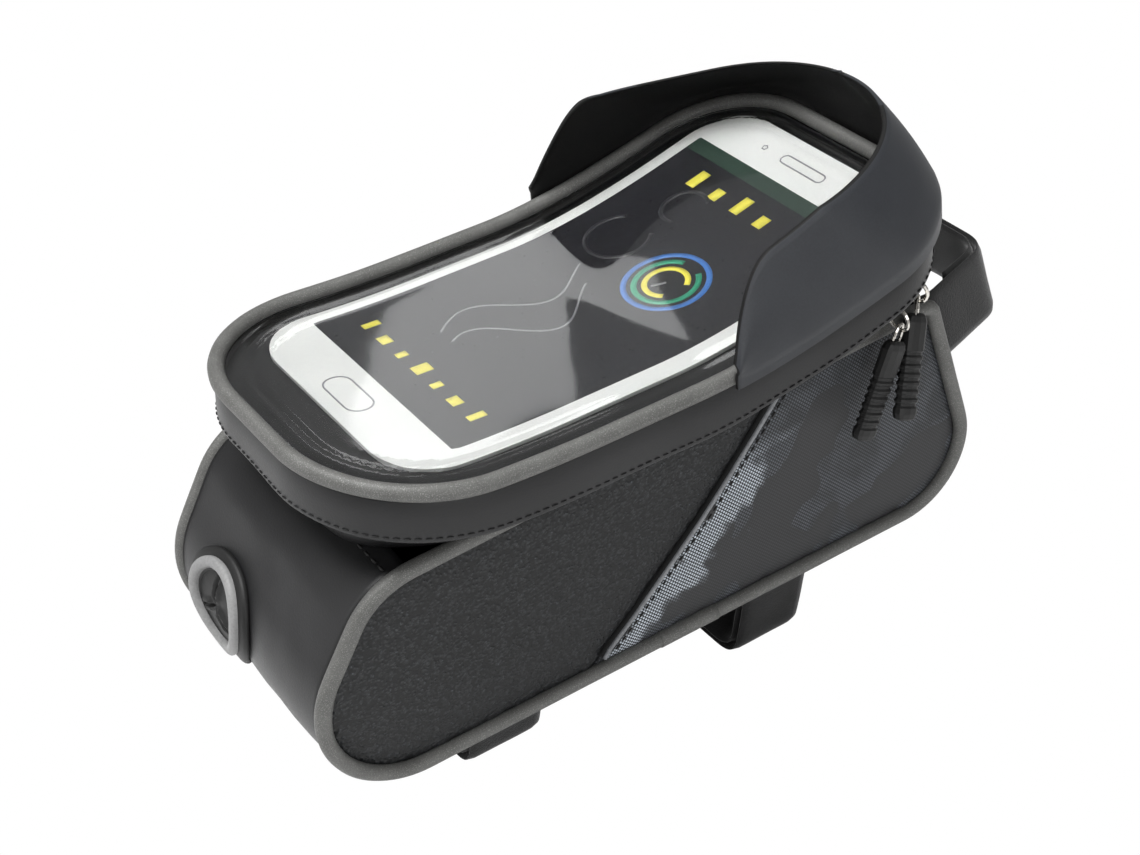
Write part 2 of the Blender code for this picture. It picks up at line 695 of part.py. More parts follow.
# Zip sliders with their rings and rubber pulls
PLATE_LOW = -2.2
PLATE_HIGH = 1.1
PLATE_OUT = 3.2
PLATE_IN = 2.1
RING_HALF = 3.2
RING_TILT = math.radians(50.0)
RING_LOW = math.radians(145.0)


def slider(name, origin, out):
    """A slider on the zip at origin, with out pointing away from the bag. Returns the ring's hinge and hanging points."""
    along_dir = Vector((-out.y, out.x))
    level = ZIP_Z + lift(origin.x)
    slope = (lift(origin.x + 0.5) - lift(origin.x - 0.5)) * along_dir.x

    def at(t, n, z):
        q = origin + along_dir * t + out * n
        return (q.x, q.y, level + z + t * slope)

    # H section: lower plate, post between the coil rows, upper plate
    post = COIL_OFF - COIL_R - 0.3
    low, high = PLATE_LOW + 1.1, PLATE_HIGH + 0.8
    section = [(PLATE_OUT, PLATE_LOW), (PLATE_OUT, low), (post, low), (post, high)]
    section += [(-PLATE_IN, high), (-PLATE_IN, PLATE_HIGH), (-post, PLATE_HIGH), (-post, low), (-PLATE_IN, low), (-PLATE_IN, PLATE_LOW)]
    body = loft(f"{name}_slider", [[at(t, n, z) for n, z in section] for t in (-3.8, 3.8)], "nickel")
    # Crown: a small arch of wire below the lower plate, joined to it
    crown = [at(-2.6, 0.6, PLATE_LOW + 0.5)]
    for k in range(9):
        a = math.pi * k / 8
        crown.append(at(-2.6 * math.cos(a), 0.6 + 1.2 * math.sin(a), PLATE_LOW - 2.6 * math.sin(a)))
    crown.append(at(2.6, 0.6, PLATE_LOW + 0.5))
    arch = tube(f"{name}_crown", crown, 0.5, "nickel", sides=6)
    join(body, arch, "UNION")
    # Ring: hangs in the arch and leans outwards, in the plane across the zip
    def on_ring(a):
        u, v = RING_HALF * (1 - math.cos(a)), -0.8 * RING_HALF * math.sin(a)
        c, q = math.cos(RING_TILT), math.sin(RING_TILT)
        return at(0.0, 0.55 + u * c + v * q, PLATE_LOW - 1.15 - u * q + v * c)

    tube(f"{name}_ring", [on_ring(2 * math.pi * k / 20) for k in range(20)], 0.5, "nickel", closed=True, sides=6)
    hinge = Vector(at(0.0, 1.2, PLATE_LOW - 1.8))
    hang = Vector(on_ring(RING_LOW))
    return hinge, hang


def pull(name, top, down, out):
    """A wire link and a ribbed rubber grip hanging from the ring at top."""
    down = Vector(down).normalized()
    side = down.cross(Vector((out.x, out.y, 0.0))).normalized()
    wide = down.cross(Vector((0.0, -1.0, 0.0))).normalized()
    across = wide.cross(down).normalized()
    # Link loop across the ring
    pts = []
    for k in range(16):
        a = 2 * math.pi * k / 16
        pts.append(top + down * (1.8 - 3.3 * math.cos(a)) + side * (1.5 * math.sin(a)))
    tube(f"{name}_link", pts, 0.4, "nickel", closed=True, sides=6)
    # Grip: rounded bar with ribs, moulded round the link's lower end
    head = top + down * 4.9
    rings = []
    stations = [(-2.1, 0.6), (-1.4, 0.85), (0.0, 1.0), (6.0, 1.0)]
    s = 7.0
    for _ in range(7):
        stations += [(s, 1.0), (s + 0.5, 0.78), (s + 1.1, 0.78), (s + 1.6, 1.0)]
        s += 2.1
    stations += [(s + 1.0, 1.0), (s + 2.2, 0.85), (s + 2.6, 0.6)]
    half_w, half_t = 3.4, 1.9
    for pos, scale in stations:
        c = head + down * pos
        w, t = half_w * (0.5 + 0.5 * scale) if pos > 1 and pos < s else half_w * scale, half_t * scale
        ring = []
        for k in range(12):
            a = 2 * math.pi * k / 12
            x = math.copysign(abs(math.cos(a)) ** 0.7, math.cos(a)) * w
            y = math.copysign(abs(math.sin(a)) ** 0.7, math.sin(a)) * t
            ring.append(c + wide * x + across * y)
        rings.append(ring)
    grip = loft(f"{name}_grip", rings, "black_rubber")
    tunnel = tube(f"{name}_tunnel", pts, 0.7, "black_rubber", closed=True, sides=6)
    return grip, tunnel


ARC_NEAR = math.radians(-78.0)
ARC_FAR = math.radians(-55.0)
CORNER = Vector((LID_FRONT - LID_R_FRONT, -(LID_HALF - LID_R_FRONT)))
for name, arc, down in (("near", ARC_NEAR, (-0.40, -0.03, -0.90)), ("far", ARC_FAR, (-0.38, -0.30, -0.88))):
    out = Vector((math.cos(arc), math.sin(arc)))
    hinge, hang = slider(name, CORNER + out * (LID_R_FRONT - ZIP_INSET), out)
    grip, tunnel = pull(name, hang, down, out)
    join(grip, tunnel, "DIFFERENCE")
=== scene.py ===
"""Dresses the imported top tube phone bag.

Soft shells, piping, zip, straps, lid window, visor and printed insert are built over the CAD bodies, in
millimetres that turn into metres as each mesh is made.
"""

import logging
import math
from dataclasses import dataclass
from enum import Enum
from typing import Callable, Iterable, Sequence

import bmesh
import bpy
from mathutils import Matrix, Vector, noise
from mathutils.geometry import delaunay_2d_cdt


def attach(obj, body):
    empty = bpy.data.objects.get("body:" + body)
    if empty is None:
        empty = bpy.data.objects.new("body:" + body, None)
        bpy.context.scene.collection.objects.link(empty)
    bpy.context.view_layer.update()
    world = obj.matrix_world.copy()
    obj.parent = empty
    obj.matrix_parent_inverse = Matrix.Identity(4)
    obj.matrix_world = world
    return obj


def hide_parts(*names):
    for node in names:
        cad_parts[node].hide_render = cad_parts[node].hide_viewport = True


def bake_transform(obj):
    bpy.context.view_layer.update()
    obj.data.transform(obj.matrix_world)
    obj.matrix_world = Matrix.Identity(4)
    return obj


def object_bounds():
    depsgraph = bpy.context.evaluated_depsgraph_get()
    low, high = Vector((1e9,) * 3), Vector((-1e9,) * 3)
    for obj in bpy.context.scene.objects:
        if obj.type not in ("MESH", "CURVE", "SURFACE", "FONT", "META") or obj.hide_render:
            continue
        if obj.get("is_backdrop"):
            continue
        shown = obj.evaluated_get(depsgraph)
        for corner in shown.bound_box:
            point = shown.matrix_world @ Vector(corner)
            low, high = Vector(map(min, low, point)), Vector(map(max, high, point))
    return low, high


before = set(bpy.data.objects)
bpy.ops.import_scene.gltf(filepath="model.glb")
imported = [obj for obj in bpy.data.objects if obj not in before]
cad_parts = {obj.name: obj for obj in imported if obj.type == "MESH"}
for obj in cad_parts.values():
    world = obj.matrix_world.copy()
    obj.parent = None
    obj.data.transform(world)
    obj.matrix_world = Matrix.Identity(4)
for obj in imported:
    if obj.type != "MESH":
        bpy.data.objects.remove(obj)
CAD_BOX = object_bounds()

LOG = logging.getLogger("top_tube_bag")
MM = 0.001
SEED = 7

Value = float | tuple | bpy.types.NodeSocket
Point = tuple[float, float, float]
Corners = Sequence[tuple[tuple[float, float], float]]


class Body(Enum):
    """CAD bodies that the pieces ride on."""

    BAG = "bag"
    LID = "lid"


class Side(Enum):
    """The two sides of the bag, with the sign of Y."""

    RIGHT = -1
    LEFT = 1


# Shape of the bag, in millimetres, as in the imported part

OUTLINE: Corners = [
    ((-108.3, 1.2), 24.3),
    ((108.3, 1.2), 19.0),
    ((87.6, 65.6), 3.5),
    ((41.7, 63.6), 60.0),
    ((-72.6, 58.3), 19.3),
]
HALF_LOW = 36.0
HALF_HIGH = 37.0
HIGH = 65.0
PIPING_R = 2.0
GUSSET_OUT = 1.2
LID_REAR = -77.4
LID_FRONT = 91.4
LID_HALF = 46.0
LID_R_REAR = 34.0
LID_R_FRONT = 26.0
LID_PIPING_Z = 78.7
FILM_EDGE = -1.9
LINING_EDGE = -0.9
FLAP_EDGE = -14.0
BAND_TOP = 76.4
BAND_LOW = 66.2
LIFT_REAR = 5.5
RISE_FROM = 10.0
RISE_SLOPE = 0.4528
RISE_SOFT = 97.0
LIFT_FROM = -14.0
PORT_Y = 12.3
PORT_Z = 29.5
ZIP_Z = 67.4
ZIP_INSET = 4.0
ZIP_REAR = -48.0
ZIP_STEPS = 140
SEAM_SPLIT = [(-13.3, 6.8), (-5.0, 14.1), (5.0, 23.4), (15.4, 33.5), (24.0, 42.9), (32.0, 52.0), (41.6, 63.5)]


def lift(x: float) -> float:
    """Rise of the soft lid at x.

    Args:
        x: Place along the bag in millimetres.

    Returns:
        Height over the lid's lowest level in millimetres.
    """
    if x < LIFT_FROM:
        return LIFT_REAR * ((LIFT_FROM - x) / (LIFT_FROM - LID_REAR)) ** 2
    if x < RISE_FROM:
        return 0.0
    return RISE_SLOPE * (x - RISE_FROM) ** 2 / (x - RISE_FROM + RISE_SOFT)


def half_width(z: float) -> float:
    """Half width of the bag at the side seam for a height z."""
    return HALF_LOW + (HALF_HIGH - HALF_LOW) * min(1.0, max(0.0, z / HIGH))


def rounded(corners: Corners, inset: float = 0.0, step: float = 3.0) -> list[Vector]:
    """Points round a polygon of (corner, radius), moved inwards.

    Args:
        corners: Corner points with the radius at each.
        inset: Distance inwards, negative for outwards.
        step: Largest turn of one arc piece in degrees.

    Returns:
        Points of the closed line, in order.
    """
    n = len(corners)
    pts = [Vector(c[0]) for c in corners]
    area = sum(pts[i].x * pts[(i + 1) % n].y - pts[(i + 1) % n].x * pts[i].y for i in range(n))
    turn = 1.0 if area > 0 else -1.0
    out: list[Vector] = []
    for i in range(n):
        prev, here, nxt = pts[i - 1], pts[i], pts[(i + 1) % n]
        d0 = (here - prev).normalized()
        d1 = (nxt - here).normalized()
        n0 = Vector((-d0.y, d0.x)) * turn
        n1 = Vector((-d1.y, d1.x)) * turn
        bend = d0.angle(d1)
        sharp = here + (n0 + n1).normalized() * (inset / math.cos(bend / 2))
        convex = (d0.x * d1.y - d0.y * d1.x) * turn > 0
        radius = max(0.6, corners[i][1] - inset if convex else corners[i][1] + inset)
        start = sharp - d0 * radius * math.tan(bend / 2)
        centre = start + (n0 if convex else -n0) * radius
        steps = max(2, math.ceil(math.degrees(bend) / step))
        arm = start - centre
        sign = turn if convex else -turn
        for k in range(steps + 1):
            a = sign * bend * k / steps
            c, d = math.cos(a), math.sin(a)
            out.append(centre + Vector((arm.x * c - arm.y * d, arm.x * d + arm.y * c)))
    return out


def running(points: Sequence[Vector]) -> list[float]:
    """Distance along an open line at each of its points.

    Args:
        points: Points of the line.

    Returns:
        One distance for each point.
    """
    run = [0.0]
    for a, b in zip(points, points[1:]):
        run.append(run[-1] + (b - a).length)
    return run


def resample(points: Sequence[Vector], pitch: float, closed: bool) -> list[Vector]:
    """The same line with evenly spaced points.

    Args:
        points: Points of the line.
        pitch: Wanted spacing.
        closed: True where the last point joins the first.

    Returns:
        Evenly spaced points.
    """
    pts = list(points) + ([points[0]] if closed else [])
    run = running(pts)
    count = max(2, round(run[-1] / pitch))
    out: list[Vector] = []
    j = 0
    for k in range(count if closed else count + 1):
        s = run[-1] * k / count
        while j < len(run) - 2 and run[j + 1] < s:
            j += 1
        t = (s - run[j]) / max(1e-9, run[j + 1] - run[j])
        out.append(pts[j].lerp(pts[j + 1], t))
    return out


def left_normals(points: Sequence[Vector], closed: bool) -> list[Vector]:
    """Left-hand unit normals of a plane line.

    Args:
        points: Points of the line.
        closed: True where the last point joins the first.

    Returns:
        One normal for each point.
    """
    out: list[Vector] = []
    n = len(points)
    for i in range(n):
        a = points[i - 1] if closed or i > 0 else points[i]
        b = points[(i + 1) % n] if closed or i < n - 1 else points[i]
        d = (b - a).normalized()
        out.append(Vector((-d.y, d.x)))
    return out


def inside(p: Vector, edge: Sequence[Vector]) -> bool:
    """True where a point lies inside a closed plane line.

    Args:
        p: The point.
        edge: Points of the closed line.

    Returns:
        Whether the point lies inside.
    """
    hit = False
    for a, b in zip(edge, [*edge[1:], edge[0]]):
        if (a.y > p.y) != (b.y > p.y) and p.x < (b.x - a.x) * (p.y - a.y) / (b.y - a.y) + a.x:
            hit = not hit
    return hit


def wave(x: float, y: float, z: float, size: float, seed: float = 0.0) -> float:
    """Smooth noise from -1 to 1 with lumps of the given size in millimetres."""
    return noise.noise(Vector((x / size + seed, y / size - seed, z / size + 2 * seed)))


SEAM = resample(rounded(OUTLINE), 1.6, True)


def lid_line(offset: float, pitch: float = 2.0) -> list[Vector]:
    """Closed line round the lid seen from above, moved outwards by offset.

    Args:
        offset: Distance outwards from the lid's line.
        pitch: Spacing of the points.

    Returns:
        Evenly spaced points of the line.
    """
    corners = [
        ((LID_REAR, -LID_HALF), LID_R_REAR),
        ((LID_FRONT, -LID_HALF), LID_R_FRONT),
        ((LID_FRONT, LID_HALF), LID_R_FRONT),
        ((LID_REAR, LID_HALF), LID_R_REAR),
    ]
    return resample(rounded(corners, -offset), pitch, True)


def box_distance(x: float, y: float, offset: float = 0.0) -> float:
    """How far a point lies inside the lid's line, in millimetres.

    Args:
        x: Place along the bag.
        y: Place across the bag.
        offset: Distance outwards from the lid's line.

    Returns:
        The distance, negative outside the line.
    """
    r = LID_R_REAR if x < 0 else LID_R_FRONT
    mid = 0.5 * (LID_REAR + LID_FRONT)
    hx = 0.5 * (LID_FRONT - LID_REAR) + offset
    hy = LID_HALF + offset
    qx, qy = abs(x - mid) - hx + r, abs(y) - hy + r
    out = math.hypot(max(qx, 0.0), max(qy, 0.0)) + min(max(qx, qy), 0.0) - r
    return -out


def lid_half(x: float, offset: float) -> float:
    """Half width of the lid's plan at x, moved outwards by offset.

    Args:
        x: Place along the bag.
        offset: Distance outwards from the lid's line.

    Returns:
        The half width, in millimetres.
    """
    from_rear, from_front = x - (LID_REAR - offset), LID_FRONT + offset - x
    half = LID_HALF + offset
    for away, radius in ((from_rear, LID_R_REAR + offset), (from_front, LID_R_FRONT + offset)):
        if away < radius:
            return half - radius + math.sqrt(max(0.0, radius * radius - (radius - away) ** 2))
    return half


# Mesh building


def shown(
    name: str, verts: Iterable[Sequence[float]], faces: Iterable[Sequence[int]], material: bpy.types.Material
) -> bpy.types.Object:
    """A smooth-shaded mesh from points in millimetres.

    Args:
        name: Name of the piece.
        verts: Points in millimetres.
        faces: Faces as point numbers.
        material: Finish of the piece.

    Returns:
        The new object, at the origin.
    """
    mesh = bpy.data.meshes.new(name)
    mesh.from_pydata([Vector(v) * MM for v in verts], [], [tuple(f) for f in faces])
    bm = bmesh.new()
    bm.from_mesh(mesh)
    bmesh.ops.remove_doubles(bm, verts=bm.verts, dist=1e-7)
    bmesh.ops.recalc_face_normals(bm, faces=bm.faces)
    for f in bm.faces:
        f.smooth = True
    bm.to_mesh(mesh)
    bm.free()
    obj = bpy.data.objects.new(name, mesh)
    bpy.context.collection.objects.link(obj)
    obj.data.materials.append(material)
    return obj


def loft(
    name: str, rings: Sequence[Sequence[Sequence[float]]], material: bpy.types.Material, closed: bool = False
) -> bpy.types.Object:
    """A skin through equal closed rings of points, capped at open ends.

    Args:
        name: Name of the piece.
        rings: Closed rings, all with the same count of points.
        material: Finish of the piece.
        closed: True where the last point joins the first.

    Returns:
        The new piece.
    """
    n = len(rings[0])
    count = len(rings)
    faces: list[tuple[int, ...]] = []
    for i in range(count if closed else count - 1):
        j = (i + 1) % count
        for k in range(n):
            m = (k + 1) % n
            faces.append((i * n + k, i * n + m, j * n + m, j * n + k))
    if not closed:
        faces.append(tuple(range(n)))
        faces.append(tuple((count - 1) * n + k for k in range(n)))
    return shown(name, [p for ring in rings for p in ring], faces, material)


def tube(
    name: str,
    points: Sequence[Vector],
    radius: float | Callable[[int], float],
    material: bpy.types.Material,
    closed: bool = False,
    sides: int = 14,
) -> bpy.types.Object:
    """A round strand along points in space.

    Args:
        name: Name of the piece.
        points: Points of the line.
        radius: Radius, or a function of the point's number.
        material: Finish of the piece.
        closed: True where the last point joins the first.
        sides: Sides of the round section.

    Returns:
        The new piece.
    """
    pts = [Vector(p) for p in points]
    n = len(pts)
    rings = []
    side = Vector((0, 0, 1))
    for i in range(n):
        a = pts[i - 1] if closed or i > 0 else pts[i]
        b = pts[(i + 1) % n] if closed or i < n - 1 else pts[i]
        d = (b - a).normalized()
        if i == 0 and abs(d.z) > 0.9:
            side = Vector((0, 1, 0))
        side = (side - d * side.dot(d)).normalized()
        up = d.cross(side)
        r = radius(i) if callable(radius) else radius
        rings.append(
            [
                pts[i] + (side * math.cos(t) + up * math.sin(t)) * r
                for t in (2 * math.pi * k / sides for k in range(sides))
            ]
        )
    return loft(name, rings, material, closed)


def section_loop(
    points: Sequence[tuple[float, float]], radius: float, arc: int = 3
) -> list[tuple[float, float]]:
    """A closed section with each corner rounded.

    Args:
        points: Corners of the section.
        radius: How far each corner is cut back.
        arc: Steps of each rounded corner.

    Returns:
        Points of the section with round corners.
    """
    n = len(points)
    out: list[tuple[float, float]] = []
    for i in range(n):
        a, b, c = Vector(points[i - 1]), Vector(points[i]), Vector(points[(i + 1) % n])
        r0 = min(radius, (a - b).length * 0.45)
        r1 = min(radius, (c - b).length * 0.45)
        p, q = b + (a - b).normalized() * r0, b + (c - b).normalized() * r1
        for k in range(arc + 1):
            t = k / arc
            v = p.lerp(b, t).lerp(b.lerp(q, t), t)
            out.append((v.x, v.y))
    return out


# Materials


def linear(code: str) -> tuple[float, float, float, float]:
    """Linear colour from an sRGB hex code such as "2a2b2d".

    Args:
        code: Six hex digits.

    Returns:
        Red, green, blue and alpha.
    """
    out = []
    for k in (0, 2, 4):
        c = int(code[k : k + 2], 16) / 255
        out.append(c / 12.92 if c <= 0.04045 else ((c + 0.055) / 1.055) ** 2.4)
    return (out[0], out[1], out[2], 1.0)


class Shade:
    """One node material under construction."""

    def __init__(self, name: str) -> None:
        """Starts an empty material with a principled shader.

        Args:
            name: Name of the real material.
        """
        self.material = bpy.data.materials.new(name)
        self.material.use_nodes = True
        self.tree = self.material.node_tree
        self.shader = self.tree.nodes["Principled BSDF"]
        self.coords = self.add("ShaderNodeTexCoord").outputs["Object"]
        self.shader.inputs["Specular IOR Level"].default_value = 0.36

    def add(
        self, kind: str, inputs: dict[str | int, Value] | None = None, **attributes: object
    ) -> bpy.types.Node:
        """Adds a node, sets its attributes and fills or links its inputs.

        Args:
            kind: Type of the node.
            inputs: Values or sockets by input.
            attributes: Attributes of the node.

        Returns:
            The new node.
        """
        node = self.tree.nodes.new(kind)
        for key, value in attributes.items():
            setattr(node, key, value)
        for key, value in (inputs or {}).items():
            self.plug(node.inputs[key], value)
        return node

    def plug(self, socket: bpy.types.NodeSocket, value: Value) -> None:
        """Links a socket to a value that is one, or else sets it.

        Args:
            socket: The socket.
            value: The value or socket.
        """
        if isinstance(value, bpy.types.NodeSocket):
            self.tree.links.new(value, socket)
        else:
            socket.default_value = value

    def math(self, operation: str, a: Value, b: Value = 0.0, c: Value = 0.0) -> bpy.types.NodeSocket:
        """Result of one math node."""
        return self.add("ShaderNodeMath", {0: a, 1: b, 2: c}, operation=operation).outputs[0]

    def noise(
        self,
        scale: float,
        detail: float = 3.0,
        rough: float = 0.5,
        coords: bpy.types.NodeSocket | None = None,
    ) -> bpy.types.NodeSocket:
        """Noise value at a scale in lumps per metre.

        Args:
            scale: Lumps per metre.
            detail: Octaves of the noise.
            rough: Roughness of the noise.
            coords: Coordinates of the texture, the object's own by default.

        Returns:
            The noise value.
        """
        return self.add(
            "ShaderNodeTexNoise",
            {"Vector": coords or self.coords, "Scale": scale, "Detail": detail, "Roughness": rough},
        ).outputs["Fac"]

    def ramp(
        self, value: Value, low: float, high: float, out_low: float = 0.0, out_high: float = 1.0
    ) -> bpy.types.NodeSocket:
        """Smooth step of a value between two limits.

        Args:
            value: The value.
            low: Lower limit of the value.
            high: Upper limit of the value.
            out_low: Result at the lower limit.
            out_high: Result at the upper limit.

        Returns:
            The result.
        """
        node = self.add(
            "ShaderNodeMapRange",
            {"Value": value, "From Min": low, "From Max": high, "To Min": out_low, "To Max": out_high},
        )
        node.interpolation_type = "SMOOTHSTEP"
        return node.outputs["Result"]

    def mix(self, factor: Value, a: Value, b: Value) -> bpy.types.NodeSocket:
        """Colour between a and b.

        Args:
            factor: Share of the second colour.
            a: First value.
            b: Second value.

        Returns:
            The mixed colour.
        """
        node = self.add("ShaderNodeMix", data_type="RGBA")
        for number, value in ((0, factor), (6, a), (7, b)):
            self.plug(node.inputs[number], value)
        return node.outputs[2]

    def bump(
        self,
        height: bpy.types.NodeSocket,
        depth_mm: float,
        strength: float = 1.0,
        under: bpy.types.NodeSocket | None = None,
    ) -> bpy.types.NodeSocket:
        """Bump from a height field of the given depth.

        Args:
            height: Height field.
            depth_mm: Depth of the relief in millimetres.
            strength: Strength of the bump.
            under: Normal that the bump lies on.

        Returns:
            The bumped normal.
        """
        inputs: dict[str | int, Value] = {"Height": height, "Distance": depth_mm * MM, "Strength": strength}
        if under is not None:
            inputs["Normal"] = under
        return self.add("ShaderNodeBump", inputs).outputs["Normal"]

    def finish(self, **sockets: Value) -> bpy.types.Material:
        """Sets or links the shader's sockets and returns the material."""
        for key, value in sockets.items():
            self.plug(self.shader.inputs[key.replace("_", " ")], value)
        return self.material


@dataclass(frozen=True)
class SmoothPU:
    """Smooth coated fabric of the gusset and lid band: satin black with a very fine grain."""

    colour: str = "1a1a1b"
    worn: str = "222223"
    roughness: float = 0.44

    def build(self) -> bpy.types.Material:
        """Returns the material.

        Returns:
            The material.
        """
        s = Shade("smooth_coated_fabric")
        grain = s.noise(2600, 3, 0.6)
        cells = s.add("ShaderNodeTexVoronoi", {"Vector": s.coords, "Scale": 1700.0}).outputs["Distance"]
        broad = s.noise(28, 3)
        colour = s.mix(s.ramp(broad, 0.35, 0.75), linear(self.colour), linear(self.worn))
        rough = s.math("MULTIPLY_ADD", grain, 0.14, self.roughness - 0.07)
        height = s.math("ADD", s.math("MULTIPLY", cells, 0.6), grain)
        return s.finish(Base_Color=colour, Roughness=rough, Normal=s.bump(height, 0.05, 0.5))


@dataclass(frozen=True)
class Leatherette:
    """Pebbled imitation leather of the rear side panels: near black, valleys in painted shade, pebbles with
    painted highlight specks.
    """

    # The valley colour is painted shade and the speck colour is a painted highlight.
    valley_shade: str = "0b0c0d"
    pebble: str = "202224"
    glint: str = "6a7077"

    def build(self) -> bpy.types.Material:
        """Returns the material.

        Returns:
            The material.
        """
        s = Shade("pebbled_leatherette")
        warp = s.add(
            "ShaderNodeTexNoise", {"Vector": s.coords, "Scale": 420.0, "Detail": 2.0}
        ).outputs["Color"]
        bent = s.add("ShaderNodeMix", data_type="VECTOR")
        bent.inputs[0].default_value = 0.0011
        s.tree.links.new(s.coords, bent.inputs[4])
        s.tree.links.new(warp, bent.inputs[5])
        cells = s.add(
            "ShaderNodeTexVoronoi",
            {"Vector": bent.outputs[1], "Scale": 1150.0, "Randomness": 1.0},
            feature="SMOOTH_F1",
        ).outputs["Distance"]
        fine = s.noise(2300, 3, 0.7)
        coarse = s.noise(620, 2)
        pebble = s.ramp(s.math("ADD", cells, s.math("MULTIPLY", coarse, 0.35)), 0.2, 0.78, 1.0, 0.0)
        # Light specks on the pebble tops are painted highlights; the darker valley colour is painted shade.
        glints = s.math("MULTIPLY", s.ramp(fine, 0.60, 0.72), pebble)
        colour = s.mix(glints, s.mix(pebble, linear(self.valley_shade), linear(self.pebble)), linear(self.glint))
        rough = s.math("MULTIPLY_ADD", pebble, -0.18, 0.58)
        height = s.math("ADD", pebble, s.math("MULTIPLY", fine, 0.35))
        return s.finish(Base_Color=colour, Roughness=rough, Normal=s.bump(height, 0.30, 0.9))


@dataclass(frozen=True)
class CamoMesh:
    """Woven mesh of the front side panels: rows of small dots, plain dark patches and a pale painted
    highlight just in front of the sloping seam.
    """

    ground: str = "1d1e20"
    plain: str = "282829"
    dot: str = "53575d"
    # Pale colour of the painted highlight beside the seam.
    highlight_colour: str = "c2cad3"
    pitch_mm: float = 1.0

    def dots(self, s: Shade) -> bpy.types.NodeSocket:
        """Mask of hexagonally packed dots on the side of the bag.

        Args:
            s: Distance across the tape from its middle.

        Returns:
            Mask of the dots.
        """
        split = s.add("ShaderNodeSeparateXYZ", {0: s.coords})
        turn = math.radians(8.0)
        x = s.math(
            "ADD",
            s.math("MULTIPLY", split.outputs[0], math.cos(turn)),
            s.math("MULTIPLY", split.outputs[2], math.sin(turn)),
        )
        z = s.math(
            "SUBTRACT",
            s.math("MULTIPLY", split.outputs[2], math.cos(turn)),
            s.math("MULTIPLY", split.outputs[0], math.sin(turn)),
        )
        near = None
        for shift in (0.0, 0.5):
            u = s.math("MULTIPLY_ADD", x, 1000 / self.pitch_mm, shift)
            v = s.math("MULTIPLY_ADD", z, 1000 / (self.pitch_mm * 1.3), shift)
            du = s.math("SUBTRACT", s.math("FRACT", s.math("ADD", u, 500.0)), 0.5)
            dv = s.math("MULTIPLY", s.math("SUBTRACT", s.math("FRACT", s.math("ADD", v, 500.0)), 0.5), 1.3)
            d = s.math("SQRT", s.math("ADD", s.math("MULTIPLY", du, du), s.math("MULTIPLY", dv, dv)))
            near = d if near is None else s.math("MINIMUM", near, d)
        return s.ramp(near, 0.20, 0.36, 1.0, 0.0)

    def build(self) -> bpy.types.Material:
        """Returns the material.

        Returns:
            The material.
        """
        s = Shade("camouflage_mesh_fabric")
        dots = self.dots(s)
        split = s.add("ShaderNodeSeparateXYZ", {0: s.coords})
        blobs = s.noise(34, 2.0, 0.55)
        plain = s.ramp(blobs, 0.545, 0.555)
        small = s.noise(95, 2.0, 0.5)
        fade = s.ramp(small, 0.40, 0.60)
        # A pale band just in front of the sloping seam and below 40 mm is a painted highlight.
        slope = s.math("SUBTRACT", split.outputs[0], s.math("MULTIPLY", split.outputs[2], 0.96))
        edge = s.math("ADD", slope, s.math("MULTIPLY", s.math("SUBTRACT", small, 0.5), 0.045))
        highlight_band = s.math("MULTIPLY", s.ramp(edge, -0.021, -0.0175), s.ramp(edge, -0.004, 0.003, 1.0, 0.0))
        highlight_band = s.math("MULTIPLY", highlight_band, s.ramp(split.outputs[2], 0.050, 0.040, 0.0, 1.0))
        lit = s.mix(highlight_band, s.mix(fade, linear("3c3f43"), linear(self.dot)), linear(self.highlight_colour))
        dotted = s.mix(dots, linear(self.ground), lit)
        keep = s.math("MULTIPLY", plain, s.math("SUBTRACT", 1.0, highlight_band))
        faint = s.mix(s.math("MULTIPLY", dots, 0.12), linear(self.plain), linear(self.dot))
        colour = s.mix(keep, dotted, faint)
        weave = s.noise(3000, 2)
        height = s.math(
            "ADD",
            s.math("MULTIPLY", dots, s.math("MULTIPLY_ADD", keep, -0.75, 1.0)),
            s.math("MULTIPLY", weave, 0.25),
        )
        rough = s.math("MULTIPLY_ADD", dots, -0.12, 0.62)
        return s.finish(Base_Color=colour, Roughness=rough, Normal=s.bump(height, 0.09, 0.7))


@dataclass(frozen=True)
class ReflectivePiping:
    """Grey reflective fabric over the piping cord; the glass beads' sparkle is painted in as lighter glint
    specks.
    """

    colour: str = "5f5f5d"
    glint_grey: str = "8c8c89"

    def build(self) -> bpy.types.Material:
        """Returns the material.

        Returns:
            The material.
        """
        s = Shade("reflective_piping_fabric")
        beads = s.noise(4200, 2, 0.7)
        lumps = s.noise(160, 3)
        # Lighter bead specks are painted glints of the glass beads' sparkle.
        bead_glints = s.ramp(beads, 0.52, 0.72)
        base = s.mix(s.ramp(lumps, 0.3, 0.7), linear("575755"), linear(self.colour))
        colour = s.mix(bead_glints, base, linear(self.glint_grey))
        height = s.math("ADD", beads, s.math("MULTIPLY", lumps, 0.4))
        return s.finish(
            Base_Color=colour,
            Roughness=s.math("MULTIPLY_ADD", bead_glints, -0.15, 0.55),
            Metallic=0.15,
            Normal=s.bump(height, 0.06, 0.5),
        )


